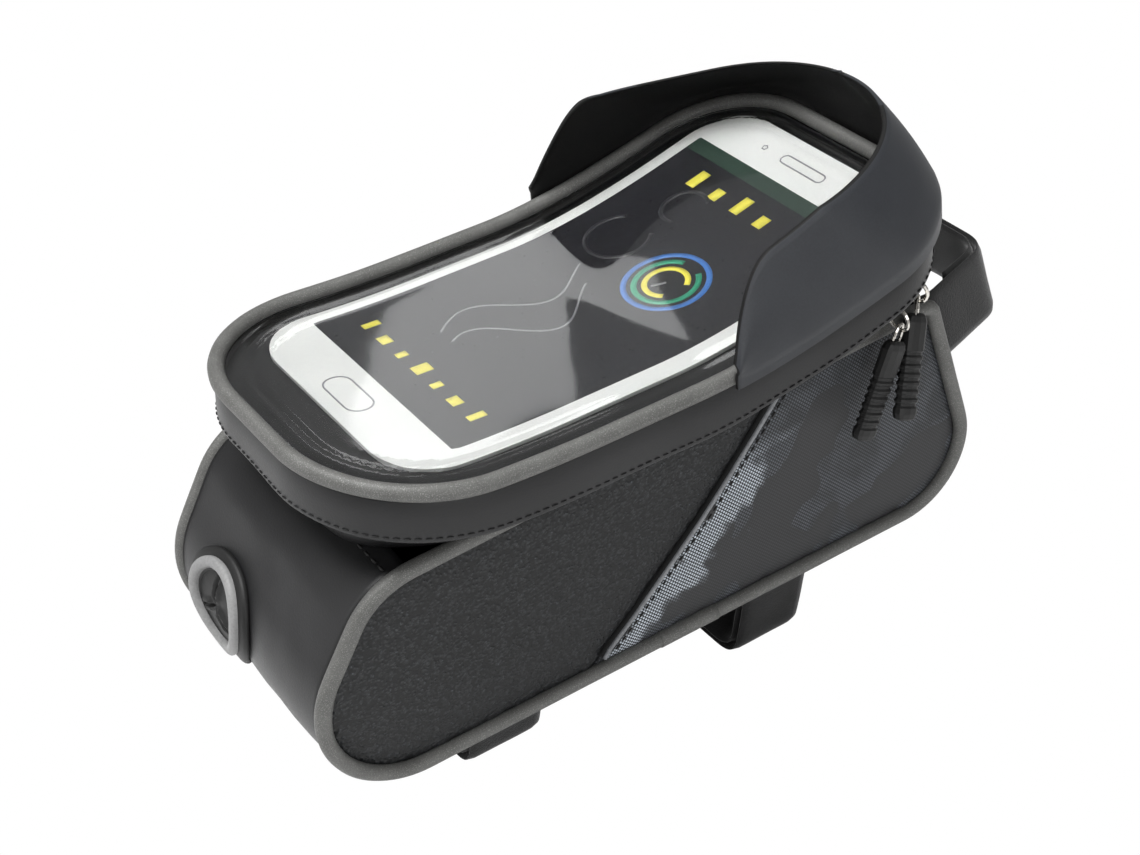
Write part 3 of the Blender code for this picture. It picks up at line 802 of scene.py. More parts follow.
@dataclass(frozen=True)
class Plain:
    """A moulded, woven or printed finish with a fine surface of its own."""

    name: str
    colour: str
    second: str
    roughness: float
    grain: float
    depth_mm: float
    metallic: float = 0.0
    sheen: float = 0.0

    def build(self) -> bpy.types.Material:
        """Returns the material.

        Returns:
            The material.
        """
        s = Shade(self.name)
        fine = s.noise(self.grain, 4, 0.6)
        broad = s.noise(self.grain / 22, 2)
        mixed = s.math("ADD", s.math("MULTIPLY", fine, 0.6), s.math("MULTIPLY", broad, 0.4))
        colour = s.mix(s.ramp(mixed, 0.35, 0.65), linear(self.colour), linear(self.second))
        rough = s.math("MULTIPLY_ADD", fine, 0.16, self.roughness - 0.08)
        s.shader.inputs["Sheen Weight"].default_value = self.sheen
        s.shader.inputs["Sheen Roughness"].default_value = 0.4
        return s.finish(
            Base_Color=colour,
            Roughness=rough,
            Metallic=self.metallic,
            Normal=s.bump(fine, self.depth_mm, 0.6),
        )


@dataclass(frozen=True)
class ClearFilm:
    """Clear flexible film of the lid window."""

    roughness: float = 0.03

    def build(self) -> bpy.types.Material:
        """Returns the material.

        Returns:
            The material.
        """
        s = Shade("clear_window_film")
        soft = s.noise(22, 1.0)
        s.shader.inputs["Transmission Weight"].default_value = 1.0
        s.shader.inputs["IOR"].default_value = 1.42
        s.shader.inputs["Base Color"].default_value = linear("fbfcfc")
        return s.finish(Roughness=self.roughness, Normal=s.bump(soft, 0.5, 0.35))


FINISHES: dict[str, Plain] = {
    "trim": Plain("grey_strand", "6c6e71", "85878a", 0.35, 1400, 0.02),
    "rubber": Plain("black_rubber", "151515", "1d1d1d", 0.55, 1500, 0.03),
    "port": Plain("grey_rubber", "7d7d7d", "8d8d8d", 0.5, 1300, 0.03),
    "strap": Plain("hook_and_loop_tape", "0b0b0b", "161617", 0.9, 1900, 0.30, sheen=0.35),
    "tape": Plain("woven_zip_tape", "0a0a0a", "111112", 0.8, 1700, 0.08, sheen=0.1),
    "coil": Plain("nylon_coil", "161616", "222222", 0.4, 1500, 0.02),
    "nickel": Plain("nickel_plate", "c8c4bd", "d8d5cf", 0.18, 900, 0.006, metallic=1.0),
    "pad": Plain("grained_ledge", "111112", "1c1c1d", 0.42, 1500, 0.12),
    "visor_out": Plain("visor_outer_face", "2a2c30", "303236", 0.50, 1900, 0.03),
    # Near black inner face of the visor: painted shade, as the visor's inside lies in shadow.
    "visor_in": Plain("visor_inner_painted_shade", "070707", "0b0b0b", 0.7, 1500, 0.03),
    "card": Plain("printed_card_white", "e4e4e1", "ebebe8", 0.35, 1200, 0.005),
    "screen": Plain("print_dark", "26262a", "2b2b2f", 0.30, 1200, 0.005),
    "stripe": Plain("print_dark_green", "2f4138", "35483f", 0.35, 1200, 0.005),
    "blue": Plain("print_blue", "4377be", "4a7fc8", 0.35, 1200, 0.005),
    "green": Plain("print_green", "319a76", "35a07c", 0.35, 1200, 0.005),
    "yellow": Plain("print_yellow", "efe252", "f6ea5a", 0.35, 1200, 0.005),
    "line": Plain("print_grey", "8b8b8e", "949497", 0.35, 1200, 0.005),
    "faint": Plain("print_faint_grey", "3a3a3d", "404043", 0.35, 1200, 0.005),
    "thread": Plain("black_thread", "0c0c0c", "161616", 0.55, 2500, 0.04),
    "light_thread": Plain("pale_thread", "c9c9c6", "dadad7", 0.5, 2500, 0.04),
}


class Library:
    """Every material, made once."""

    def __init__(self) -> None:
        """Builds the materials."""
        self.items: dict[str, bpy.types.Material] = {key: value.build() for key, value in FINISHES.items()}
        self.items["smooth"] = SmoothPU().build()
        self.items["leather"] = Leatherette().build()
        self.items["camo"] = CamoMesh().build()
        self.items["piping"] = ReflectivePiping().build()
        self.items["film"] = ClearFilm().build()
        LOG.info("materials: %d", len(self.items))

    def __getitem__(self, key: str) -> bpy.types.Material:
        """Returns a material by its short name."""
        return self.items[key]


# Repeats as Geometry Nodes: turns or stitches along a line


class Repeater:
    """A node group that lays equal stitches or coil turns along an edge line."""

    def __init__(self) -> None:
        """Builds the group once."""
        self.group = bpy.data.node_groups.new("stitches_along_line", "GeometryNodeTree")
        face = self.group.interface
        face.new_socket("Geometry", in_out="INPUT", socket_type="NodeSocketGeometry")
        self.sockets: dict[str, str] = {}
        sockets = (
            ("Pitch", "NodeSocketFloat", 0.003),
            ("Length", "NodeSocketFloat", 0.002),
            ("Radius", "NodeSocketFloat", 0.0004),
            ("Seed", "NodeSocketInt", SEED),
            ("Material", "NodeSocketMaterial", None),
        )
        for label, kind, value in sockets:
            socket = face.new_socket(label, in_out="INPUT", socket_type=kind)
            if value is not None:
                socket.default_value = value
            self.sockets[label] = socket.identifier
        face.new_socket("Geometry", in_out="OUTPUT", socket_type="NodeSocketGeometry")
        nodes = self.group.nodes
        enter, leave = nodes.new("NodeGroupInput"), nodes.new("NodeGroupOutput")
        curve = nodes.new("GeometryNodeMeshToCurve")
        even = nodes.new("GeometryNodeResampleCurve")
        even.mode = "LENGTH"
        tangent = nodes.new("GeometryNodeInputTangent")
        align = nodes.new("FunctionNodeAlignRotationToVector")
        align.axis = "Z"
        ball = nodes.new("GeometryNodeMeshUVSphere")
        ball.inputs["Segments"].default_value = 8
        ball.inputs["Rings"].default_value = 6
        ball.inputs["Radius"].default_value = 1.0
        size = nodes.new("ShaderNodeCombineXYZ")
        half = nodes.new("ShaderNodeMath")
        half.operation = "MULTIPLY"
        half.inputs[1].default_value = 0.5
        uneven = nodes.new("FunctionNodeRandomValue")
        uneven.data_type = "FLOAT"
        uneven.inputs[2].default_value = 0.93
        uneven.inputs[3].default_value = 1.07
        scale = nodes.new("ShaderNodeVectorMath")
        scale.operation = "SCALE"
        place = nodes.new("GeometryNodeInstanceOnPoints")
        real = nodes.new("GeometryNodeRealizeInstances")
        paint = nodes.new("GeometryNodeSetMaterial")
        # The line becomes a curve with even points, and each point takes one turned and stretched ball
        for source, out_key, target, in_key in (
            (enter, "Geometry", curve, "Mesh"),
            (curve, "Curve", even, "Curve"),
            (enter, "Pitch", even, "Length"),
            (tangent, "Tangent", align, "Vector"),
            (enter, "Length", half, 0),
            (enter, "Radius", size, 0),
            (enter, "Radius", size, 1),
            (half, 0, size, 2),
            (size, 0, scale, 0),
            (enter, "Seed", uneven, "Seed"),
            (uneven, 1, scale, "Scale"),
            (even, "Curve", place, "Points"),
            (ball, "Mesh", place, "Instance"),
            (align, "Rotation", place, "Rotation"),
            (scale, 0, place, "Scale"),
            (place, "Instances", real, "Geometry"),
            (real, "Geometry", paint, "Geometry"),
            (enter, "Material", paint, "Material"),
            (paint, "Geometry", leave, "Geometry"),
        ):
            self.group.links.new(source.outputs[out_key], target.inputs[in_key])

    def run(
        self,
        name: str,
        points: Sequence[Sequence[float]],
        pitch: float,
        length: float,
        radius: float,
        material: bpy.types.Material,
        closed: bool = False,
    ) -> bpy.types.Object:
        """Lays the repeats along points in millimetres and returns a plain mesh object.

        Args:
            name: Name of the piece.
            points: Points of the line.
            pitch: Spacing of the points.
            length: Length of one repeat.
            radius: Half the thickness of one repeat.
            material: Finish of the piece.
            closed: True where the last point joins the first.

        Returns:
            The repeats as one mesh.
        """
        n = len(points)
        mesh = bpy.data.meshes.new(name)
        edges = [(i, i + 1) for i in range(n - 1)] + ([(n - 1, 0)] if closed else [])
        mesh.from_pydata([Vector(p) * MM for p in points], edges, [])
        obj = bpy.data.objects.new(name, mesh)
        bpy.context.collection.objects.link(obj)
        mod = obj.modifiers.new("repeat", "NODES")
        mod.node_group = self.group
        sizes = {"Pitch": pitch * MM, "Length": length * MM, "Radius": radius * MM}
        for label, value in {**sizes, "Seed": SEED, "Material": material}.items():
            mod[self.sockets[label]] = value
        graph = bpy.context.evaluated_depsgraph_get()
        plain = bpy.data.meshes.new_from_object(obj.evaluated_get(graph))
        obj.modifiers.clear()
        obj.data = plain
        if not plain.materials:
            plain.materials.append(material)
        for poly in plain.polygons:
            poly.use_smooth = True
        return obj


def dress(obj: bpy.types.Object, body: Body, slot: str, *nodes: str) -> bpy.types.Object:
    """Puts a piece on its body and hides the CAD nodes that it stands for.

    Args:
        obj: The piece.
        body: Body that the piece rides on.
        slot: Name of the finish slot; not used.
        nodes: CAD nodes that the piece stands for.

    Returns:
        The same piece.
    """
    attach(obj, body.value)
    if nodes:
        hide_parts(*nodes)
    LOG.info("%s: %d faces", obj.name, len(obj.data.polygons))
    return obj


# The bag's body


@dataclass
class Shell:
    """Gusset, side panels, side piping and the seam strand."""

    lib: Library
    repeat: Repeater
    puff: float = 1.3
    dome: float = 0.9
    crease: float = 0.45
    fine_crease: float = 0.14
    wall: float = 1.8
    panel_wall: float = 1.2
    panel_pitch: float = 1.7
    pucker: float = 0.55

    def __post_init__(self) -> None:
        """Finds the gusset's line and its outward normals."""
        self.line = self.gusset_line()
        self.norm = [-v for v in left_normals(self.line, False)]

    def gusset_line(self) -> list[Vector]:
        """Seam line from the rear top round the bottom to the front top.

        Returns:
            Points of the seam under the gusset.
        """
        n = len(SEAM)
        rear = [i for i in range(n) if SEAM[i].x < -62 and SEAM[i].y > 45]
        front = [i for i in range(n) if SEAM[i].x > 80]
        start = max(rear, key=lambda i: SEAM[i].x)
        end = max(front, key=lambda i: SEAM[i].x + 3 * SEAM[i].y)
        return [SEAM[(start + k) % n] for k in range((end - start) % n + 1)]

    def gusset(self) -> None:
        """The padded strip over rear, bottom and front."""
        line, norm = self.line, self.norm
        across = 26
        rings = []
        total = len(line)
        for i, (p, n) in enumerate(zip(line, norm)):
            ring = []
            ends = min(i, total - 1 - i)
            tuck = max(0.0, 1 - ends / 3.0)
            for k in range(across + 1):
                v = -1 + 2 * k / across
                w = half_width(p.y) - 0.4
                dome = (1 - abs(v) ** 5) * self.dome - 0.25
                rear = 1.0 if p.x < -60 else 0.4
                crease = wave(p.x, v * w, p.y, 17.0, 3.0) * self.crease * rear * (1 - v**4)
                crease += wave(p.x, v * w, p.y, 6.0, 8.0) * self.fine_crease * rear * (1 - v**4)
                flat = 0.25 if p.y < 4 and abs(p.x) < 60 else 1.0
                # The skin lies flat where the port is sewn on
                near = math.hypot(v * w - PORT_Y, (p.y - PORT_Z) * 1.1) if p.x < -60 else 99.0
                flat *= min(1.0, max(0.0, (near - 15.0) / 8.0))
                out = min(GUSSET_OUT + 1.2, GUSSET_OUT + (dome + crease) * flat - tuck * 0.7 - 0.2)
                ring.append((p.x + n.x * out, v * w, p.y + n.y * out))
            for k in range(across, -1, -1):
                v = -1 + 2 * k / across
                w = half_width(p.y) - 1.4
                ring.append((p.x - n.x * self.wall, v * w, p.y - n.y * self.wall))
            rings.append(ring)
        obj = loft("gusset_skin", rings, self.lib["smooth"])
        dress(obj, Body.BAG, "smooth_pu", "gusset")
        # Top stitches along the rear's upper edge
        p, n = line[3], norm[3]
        reach, count = 33, 40
        across_y = (-reach + 2 * reach * k / count for k in range(count + 1))
        run = [(p.x + n.x * 1.5, y, p.y + n.y * 1.5) for y in across_y]
        stitches = self.repeat.run("gusset_edge_stitches", run, 3.1, 2.3, 0.42, self.lib["thread"])
        dress(stitches, Body.BAG, "smooth_pu")

    def panel(self, side: Side, rear: bool) -> None:
        """One pillowed side panel.

        Args:
            side: Side of the bag.
            rear: True for the rear panel of the side.
        """
        gap = -0.5 if rear else 0.5
        loop = resample(rounded(OUTLINE, 1.4), 1.5, True)
        line = [Vector((x + gap, z)) for x, z in [(-24.0, -4.0), *SEAM_SPLIT, (46.0, 69.5)]]

        def split_x(z: float) -> float:
            """Place of the sloping seam at a height.

            Args:
                z: Height over the underside.

            Returns:
                Place along the bag.
            """
            for a, b in zip(line, line[1:]):
                if a.y <= z <= b.y:
                    return a.x + (b.x - a.x) * (z - a.y) / (b.y - a.y)
            return line[0].x if z < line[0].y else line[-1].x

        kept = [p for p in loop if (p.x < split_x(p.y)) == rear]
        # Bring the kept run into one piece
        breaks = [i for i in range(len(kept)) if (kept[i] - kept[i - 1]).length > 4]
        kept = kept[breaks[0] :] + kept[: breaks[0]]
        lo, hi = (kept[-1], kept[0]) if kept[-1].y < kept[0].y else (kept[0], kept[-1])
        foot, head = (Vector((split_x(p.y), p.y)) for p in (lo, hi))
        seam = resample([foot, *(v for v in line if lo.y + 1 < v.y < hi.y - 1), head], 1.5, False)
        if kept[-1].y > kept[0].y:
            seam.reverse()
        edge = kept + seam
        n = len(edge)
        pitch = self.panel_pitch
        inner: list[Vector] = []
        xs = [p.x for p in edge]
        zs = [p.y for p in edge]
        dist: list[float] = []

        def away(p: Vector) -> float:
            """Distance of a point from the panel's edge.

            Args:
                p: The point.

            Returns:
                The distance.
            """
            best = 1e9
            for i in range(0, n, 2):
                a, b = edge[i], edge[(i + 2) % n]
                d = b - a
                t = max(0.0, min(1.0, (p - a).dot(d) / max(1e-9, d.dot(d))))
                best = min(best, (p - a - d * t).length)
            return best

        z = min(zs) + pitch * 0.6
        row = 0
        while z < max(zs):
            x = min(xs) + (row % 2) * pitch / 2
            while x < max(xs):
                p = Vector((x, z))
                if inside(p, edge):
                    d = away(p)
                    if d > 0.7:
                        inner.append(p)
                        dist.append(d)
                x += pitch
            z += pitch * 0.87
            row += 1
        pts = edge + inner
        depth = [0.0] * n + dist
        result = delaunay_2d_cdt(pts, [], [list(range(n))], 1, 1e-6)
        verts2, faces, origin = result[0], result[2], result[3]
        sign = side.value
        verts = []
        for i, v in enumerate(verts2):
            d = depth[origin[i][0]] if origin[i] else 0.0
            swell = self.puff * (1 - math.exp(-d / 5.0))
            pucker = math.exp(-d / 3.2) * min(1.0, d / 0.8) * wave(v.x, 0, v.y, 3.4, 5.0 + sign) * self.pucker
            broad = wave(v.x, sign * 3, v.y, 26.0, 11.0) * 0.5 * min(1.0, d / 8)
            y = half_width(v.y) - 0.6 + swell + pucker + broad
            verts.append((v.x, sign * y, v.y))
        label = f"{side.name.lower()}_{'rear' if rear else 'front'}_panel"
        obj = shown(f"{label}_cover", verts, faces, self.lib["leather" if rear else "camo"])
        thick = obj.modifiers.new("thickness", "SOLIDIFY")
        thick.thickness = self.panel_wall * MM
        thick.offset = -1.0
        graph = bpy.context.evaluated_depsgraph_get()
        mesh = bpy.data.meshes.new_from_object(obj.evaluated_get(graph))
        obj.modifiers.clear()
        obj.data = mesh
        dress(obj, Body.BAG, "grain_pu" if rear else "mesh_fabric", label)

    def piping(self, side: Side) -> None:
        """Reflective piping round one side, and its overlap sleeve.

        Args:
            side: Side of the bag.
        """
        sign = side.value
        pts = [(p.x, sign * half_width(p.y), p.y) for p in SEAM]
        name = side.name.lower()
        obj = tube(
            f"{name}_piping_cord",
            [Vector(p) for p in pts],
            lambda i: PIPING_R * (1 + 0.03 * wave(i, 0, 0, 9.0)),
            self.lib["piping"],
            closed=True,
        )
        dress(obj, Body.BAG, "piping_grey", f"{name}_piping")
        low = [Vector(p) for p in pts if p[2] < 3 and 2.0 < p[0] < 20.0]
        low.sort(key=lambda p: p.x)
        sleeve = tube(f"{name}_piping_sleeve", low, lambda i: PIPING_R + 0.22, self.lib["piping"])
        dress(sleeve, Body.BAG, "piping_grey")

    def strand(self, side: Side) -> None:
        """The grey strand over the sloping seam, its dark groove and stitches.

        Args:
            side: Side of the bag.
        """
        sign = side.value
        name = side.name.lower()
        line = resample([Vector(p) for p in [(-14.5, 5.0), *SEAM_SPLIT[:-1], (39.5, 61.0)]], 1.2, False)
        pts = [Vector((p.x, sign * (half_width(p.y) + 0.75), p.y)) for p in line]
        obj = tube(f"{name}_seam_strand", pts, 0.62, self.lib["trim"], sides=10)
        dress(obj, Body.BAG, "trim_grey", f"{name}_trim")
        backing = tube(
            f"{name}_seam_groove",
            [Vector((p.x, p.y - sign * 1.1, p.z)) for p in pts],
            1.25,
            self.lib["tape"],
            sides=10,
        )
        dress(backing, Body.BAG, "tape_black")
        run = [(p.x + 2.9, sign * (half_width(p.z) + 0.52), p.z - 0.6) for p in pts[2:-2]]
        dress(
            self.repeat.run(f"{name}_seam_stitches", run, 2.4, 1.7, 0.3, self.lib["thread"]),
            Body.BAG,
            "mesh_fabric",
        )

    def build(self) -> None:
        """Builds the whole shell."""
        self.gusset()
        for side in Side:
            for rear in (True, False):
                self.panel(side, rear)
            self.piping(side)
            self.strand(side)


@dataclass
class Port:
    """Cable port on the curved rear: moulded backing, grey ring and slit membrane."""

    lib: Library
    shell: Shell
    y: float = PORT_Y
    z: float = PORT_Z
    squat: float = 0.86
    leaves: int = 3

    def __post_init__(self) -> None:
        """Finds the port's place along the gusset."""
        self.run = running(self.shell.line)
        pairs = [(abs(p.y - self.z), s) for p, s in zip(self.shell.line, self.run) if p.x < -60 and p.y < 50]
        self.at = min(pairs)[1]

    def wrap(self, u: float, v: float, out: float) -> Point:
        """A point u across, v up the rear and out from the gusset's surface.

        Args:
            u: Distance across the rear.
            v: Distance up the rear.
            out: Distance outwards.

        Returns:
            The point.
        """
        s = self.at - v
        line, norm, run = self.shell.line, self.shell.norm, self.run
        for i in range(len(run) - 1):
            if run[i] <= s <= run[i + 1]:
                t = (s - run[i]) / (run[i + 1] - run[i])
                p = line[i].lerp(line[i + 1], t)
                n = norm[i].lerp(norm[i + 1], t).normalized()
                h = GUSSET_OUT + out
                return (p.x + n.x * h, self.y + u, p.y + n.y * h)
        raise ValueError("the port runs past the gusset")

    @staticmethod
    def radius(a: float) -> float:
        """Outline of the port, round above and drawn to a blunt point below."""
        return 11.2 + 1.6 * max(0.0, -math.sin(a)) ** 6

    def ring(
        self,
        name: str,
        section: Sequence[tuple[float, float]],
        material: bpy.types.Material,
        node: str,
        slot: str,
        tail: float = 0.0,
    ) -> None:
        """A closed ring from a section of (scale, height).

        Args:
            name: Name of the piece.
            section: Points as (scale of the outline, height).
            material: Finish of the piece.
            node: CAD node that the piece stands for.
            slot: Name of the finish slot.
            tail: How far the lower point is drawn out.
        """
        rings = []
        for k in range(96):
            a = 2 * math.pi * k / 96
            base = self.radius(a)
            stretch = 1 + tail * max(0.0, -math.sin(a)) ** 8
            ring = []
            for r, h in section:
                up = self.squat * math.sin(a) * base * r * (stretch if r > 0.9 else 1.0)
                ring.append(self.wrap(math.cos(a) * base * r, up, h))
            rings.append(ring)
        dress(loft(name, rings, material, closed=True), Body.BAG, slot, node)

    def membrane(self) -> None:
        """Rubber membrane of three leaves that meet at slits, dished towards the middle."""
        count, rows = 72, 8
        verts: list[Point] = []
        faces: list[tuple[int, ...]] = []
        for j in range(rows + 1):
            for k in range(count):
                a = 2 * math.pi * k / count + math.pi / 2
                r = (0.01 + 0.99 * j / rows) * 0.84 * self.radius(a)
                phase = (k % (count // self.leaves)) / (count // self.leaves)
                near = min(phase, 1 - phase) * 2 * math.pi / self.leaves * r
                rib = 1.0 * math.exp(-((near - 1.0) ** 2) / 0.35) - 1.6 * math.exp(-(near**2) / 0.10)
                out = 1.3 + rib * (1 - (j / rows) ** 5) * min(1.0, j / 2)
                verts.append(self.wrap(r * math.cos(a), self.squat * r * math.sin(a), out))
        for j in range(rows):
            for k in range(count):
                m = (k + 1) % count
                faces.append((j * count + k, j * count + m, (j + 1) * count + m, (j + 1) * count + k))
        faces.append(tuple(range(count)))
        dress(
            shown("port_membrane_leaves", verts, faces, self.lib["rubber"]),
            Body.BAG,
            "black_rubber",
            "port_membrane",
        )

    def build(self) -> None:
        """Builds the port."""
        backing = section_loop([(0.78, -0.4), (1.34, -0.4), (1.34, 1.0), (1.24, 1.7), (0.78, 1.7)], 0.5)
        self.ring("port_backing_moulding", backing, self.lib["rubber"], "port_backing", "black_rubber", 0.28)
        rim = section_loop([(0.82, 0.4), (1.12, 0.4), (1.10, 2.9), (0.99, 3.4), (0.85, 2.8)], 0.7)
        self.ring("port_rim", rim, self.lib["port"], "port_ring", "port_grey")
        self.membrane()


@dataclass
class Lid:
    """Band, piping, window, ledge, pocket floor and flap."""

    lib: Library
    repeat: Repeater
    ripple: float = 0.5

    def strip(
        self, name: str, section: Sequence[tuple[float, float]], material: bpy.types.Material
    ) -> bpy.types.Object:
        """A closed strip round the lid from a section of (offset, z).

        Args:
            name: Name of the piece.
            section: Points as (offset, height).
            material: Finish of the piece.

        Returns:
            The new piece.
        """
        base = lid_line(0.0)
        norm = [-v for v in left_normals(base, True)]
        rings = []
        for p, n in zip(base, norm):
            ring = []
            for o, z in section:
                low = (BAND_TOP - z) / (BAND_TOP - BAND_LOW)
                push = o + self.ripple * low * wave(p.x, p.y, 0, 21.0, 4.0)
                ring.append((p.x + n.x * push, p.y + n.y * push, z + lift(p.x)))
            rings.append(ring)
        return loft(name, rings, material, closed=True)

    def band(self) -> None:
        """Skirt of the lid with a turned lower edge and a line of stitches."""
        section = section_loop(
            [
                (0.5, BAND_TOP + 0.6),
                (1.3, 73.0),
                (2.0, BAND_LOW + 0.2),
                (0.2, BAND_LOW),
                (-1.5, BAND_TOP + 0.4),
            ],
            0.8,
        )
        obj = self.strip("lid_band_skin", section, self.lib["smooth"])
        dress(obj, Body.LID, "smooth_pu", "lid_band")
        base = lid_line(0.0)
        norm = [-v for v in left_normals(base, True)]
        run = []
        z = BAND_LOW + 1.5
        for p, n in zip(base, norm):
            low = (BAND_TOP - z) / (BAND_TOP - BAND_LOW)
            push = 1.95 + self.ripple * low * wave(p.x, p.y, 0, 21.0, 4.0)
            run.append((p.x + n.x * push, p.y + n.y * push, z + lift(p.x)))
        dress(
            self.repeat.run("lid_band_stitches", run, 2.3, 1.6, 0.2, self.lib["thread"], True),
            Body.LID,
            "smooth_pu",
        )

    def piping(self) -> None:
        """Piping ring on top of the band."""
        pts = [Vector((p.x, p.y, LID_PIPING_Z + lift(p.x))) for p in lid_line(0.0)]
        obj = tube(
            "lid_piping_cord",
            pts,
            lambda i: PIPING_R * (1 + 0.03 * wave(i, 3, 0, 9.0)),
            self.lib["piping"],
            closed=True,
        )
        dress(obj, Body.LID, "piping_grey", "lid_piping")

    def slab(
        self,
        name: str,
        offset: float,
        low: float,
        high: float,
        material: bpy.types.Material,
        relief: Callable[[float], float] | None = None,
    ) -> bpy.types.Object:
        """A closed sheet with the lid's plan; relief is a height from the distance to the edge.

        Args:
            name: Name of the piece.
            offset: Distance outwards from the lid's line.
            low: Lower level.
            high: Upper level.
            material: Finish of the piece.
            relief: Added height by the distance from the edge.

        Returns:
            The new piece.
        """
        nx, ny = 110, 56
        x0, x1 = LID_REAR - offset, LID_FRONT + offset
        top: list[list[Point]] = []
        for i in range(nx + 1):
            t = i / nx
            x = x0 + (x1 - x0) * (0.5 - 0.5 * math.cos(math.pi * t))
            half = lid_half(x, offset)
            row = []
            for k in range(ny + 1):
                y = -half * math.cos(math.pi * k / ny)
                d = box_distance(x, y, offset)
                row.append((x, y, high + lift(x) + (relief(d) if relief else 0.0)))
            top.append(row)
        thick = high - low
        verts = [p for row in top for p in row]
        verts += [(x, y, z - thick) for x, y, z in verts]
        w = ny + 1
        count = (nx + 1) * w
        faces: list[tuple[int, ...]] = []
        for i in range(nx):
            for k in range(ny):
                a = i * w + k
                faces.append((a, a + 1, a + w + 1, a + w))
                faces.append((count + a, count + a + w, count + a + w + 1, count + a + 1))
        rim = [*range(w), *(i * w + ny for i in range(1, nx + 1))]
        rim += [*(nx * w + k for k in range(ny - 1, -1, -1)), *(i * w for i in range(nx - 1, 0, -1))]
        for a, b in zip(rim, rim[1:] + rim[:1]):
            faces.append((a, b, count + b, count + a))
        return shown(name, verts, faces, material)

    def window(self) -> None:
        """Clear film with two moulded contour lines inside its edge."""

        def relief(d: float) -> float:
            """Height of the moulded lines at a distance from the edge."""
            lines = ((0.5, 4.0, 0.5), (0.4, 7.5, 0.6), (-0.3, 1.0, 1.5))
            return sum(tall * math.exp(-((d - at) ** 2) / wide) for tall, at, wide in lines)

        film = self.slab("window_film", FILM_EDGE, 77.9, 78.3, self.lib["film"], relief)
        dress(film, Body.LID, "window_tpu", "lid_window")

    def under(self) -> None:
        """Grained ledge under the film, pocket floor and flap."""
        pad = self.slab(
            "pocket_ledge", -1.6, 71.4, 75.9, self.lib["pad"], lambda d: -0.5 * math.exp(-d / 2.0)
        )
        dress(pad, Body.LID, "pad_black", "pocket_pad")
        lining = self.slab("pocket_lining", LINING_EDGE, 69.9, 70.9, self.lib["tape"])
        dress(lining, Body.LID, "tape_black", "pocket_floor")
        flap = self.slab("pocket_flap_cloth", FLAP_EDGE, 68.6, 69.4, self.lib["strap"])
        dress(flap, Body.LID, "strap_black", "pocket_flap")

    def build(self) -> None:
        """Builds the lid."""
        self.band()
        self.piping()
        self.window()
        self.under()


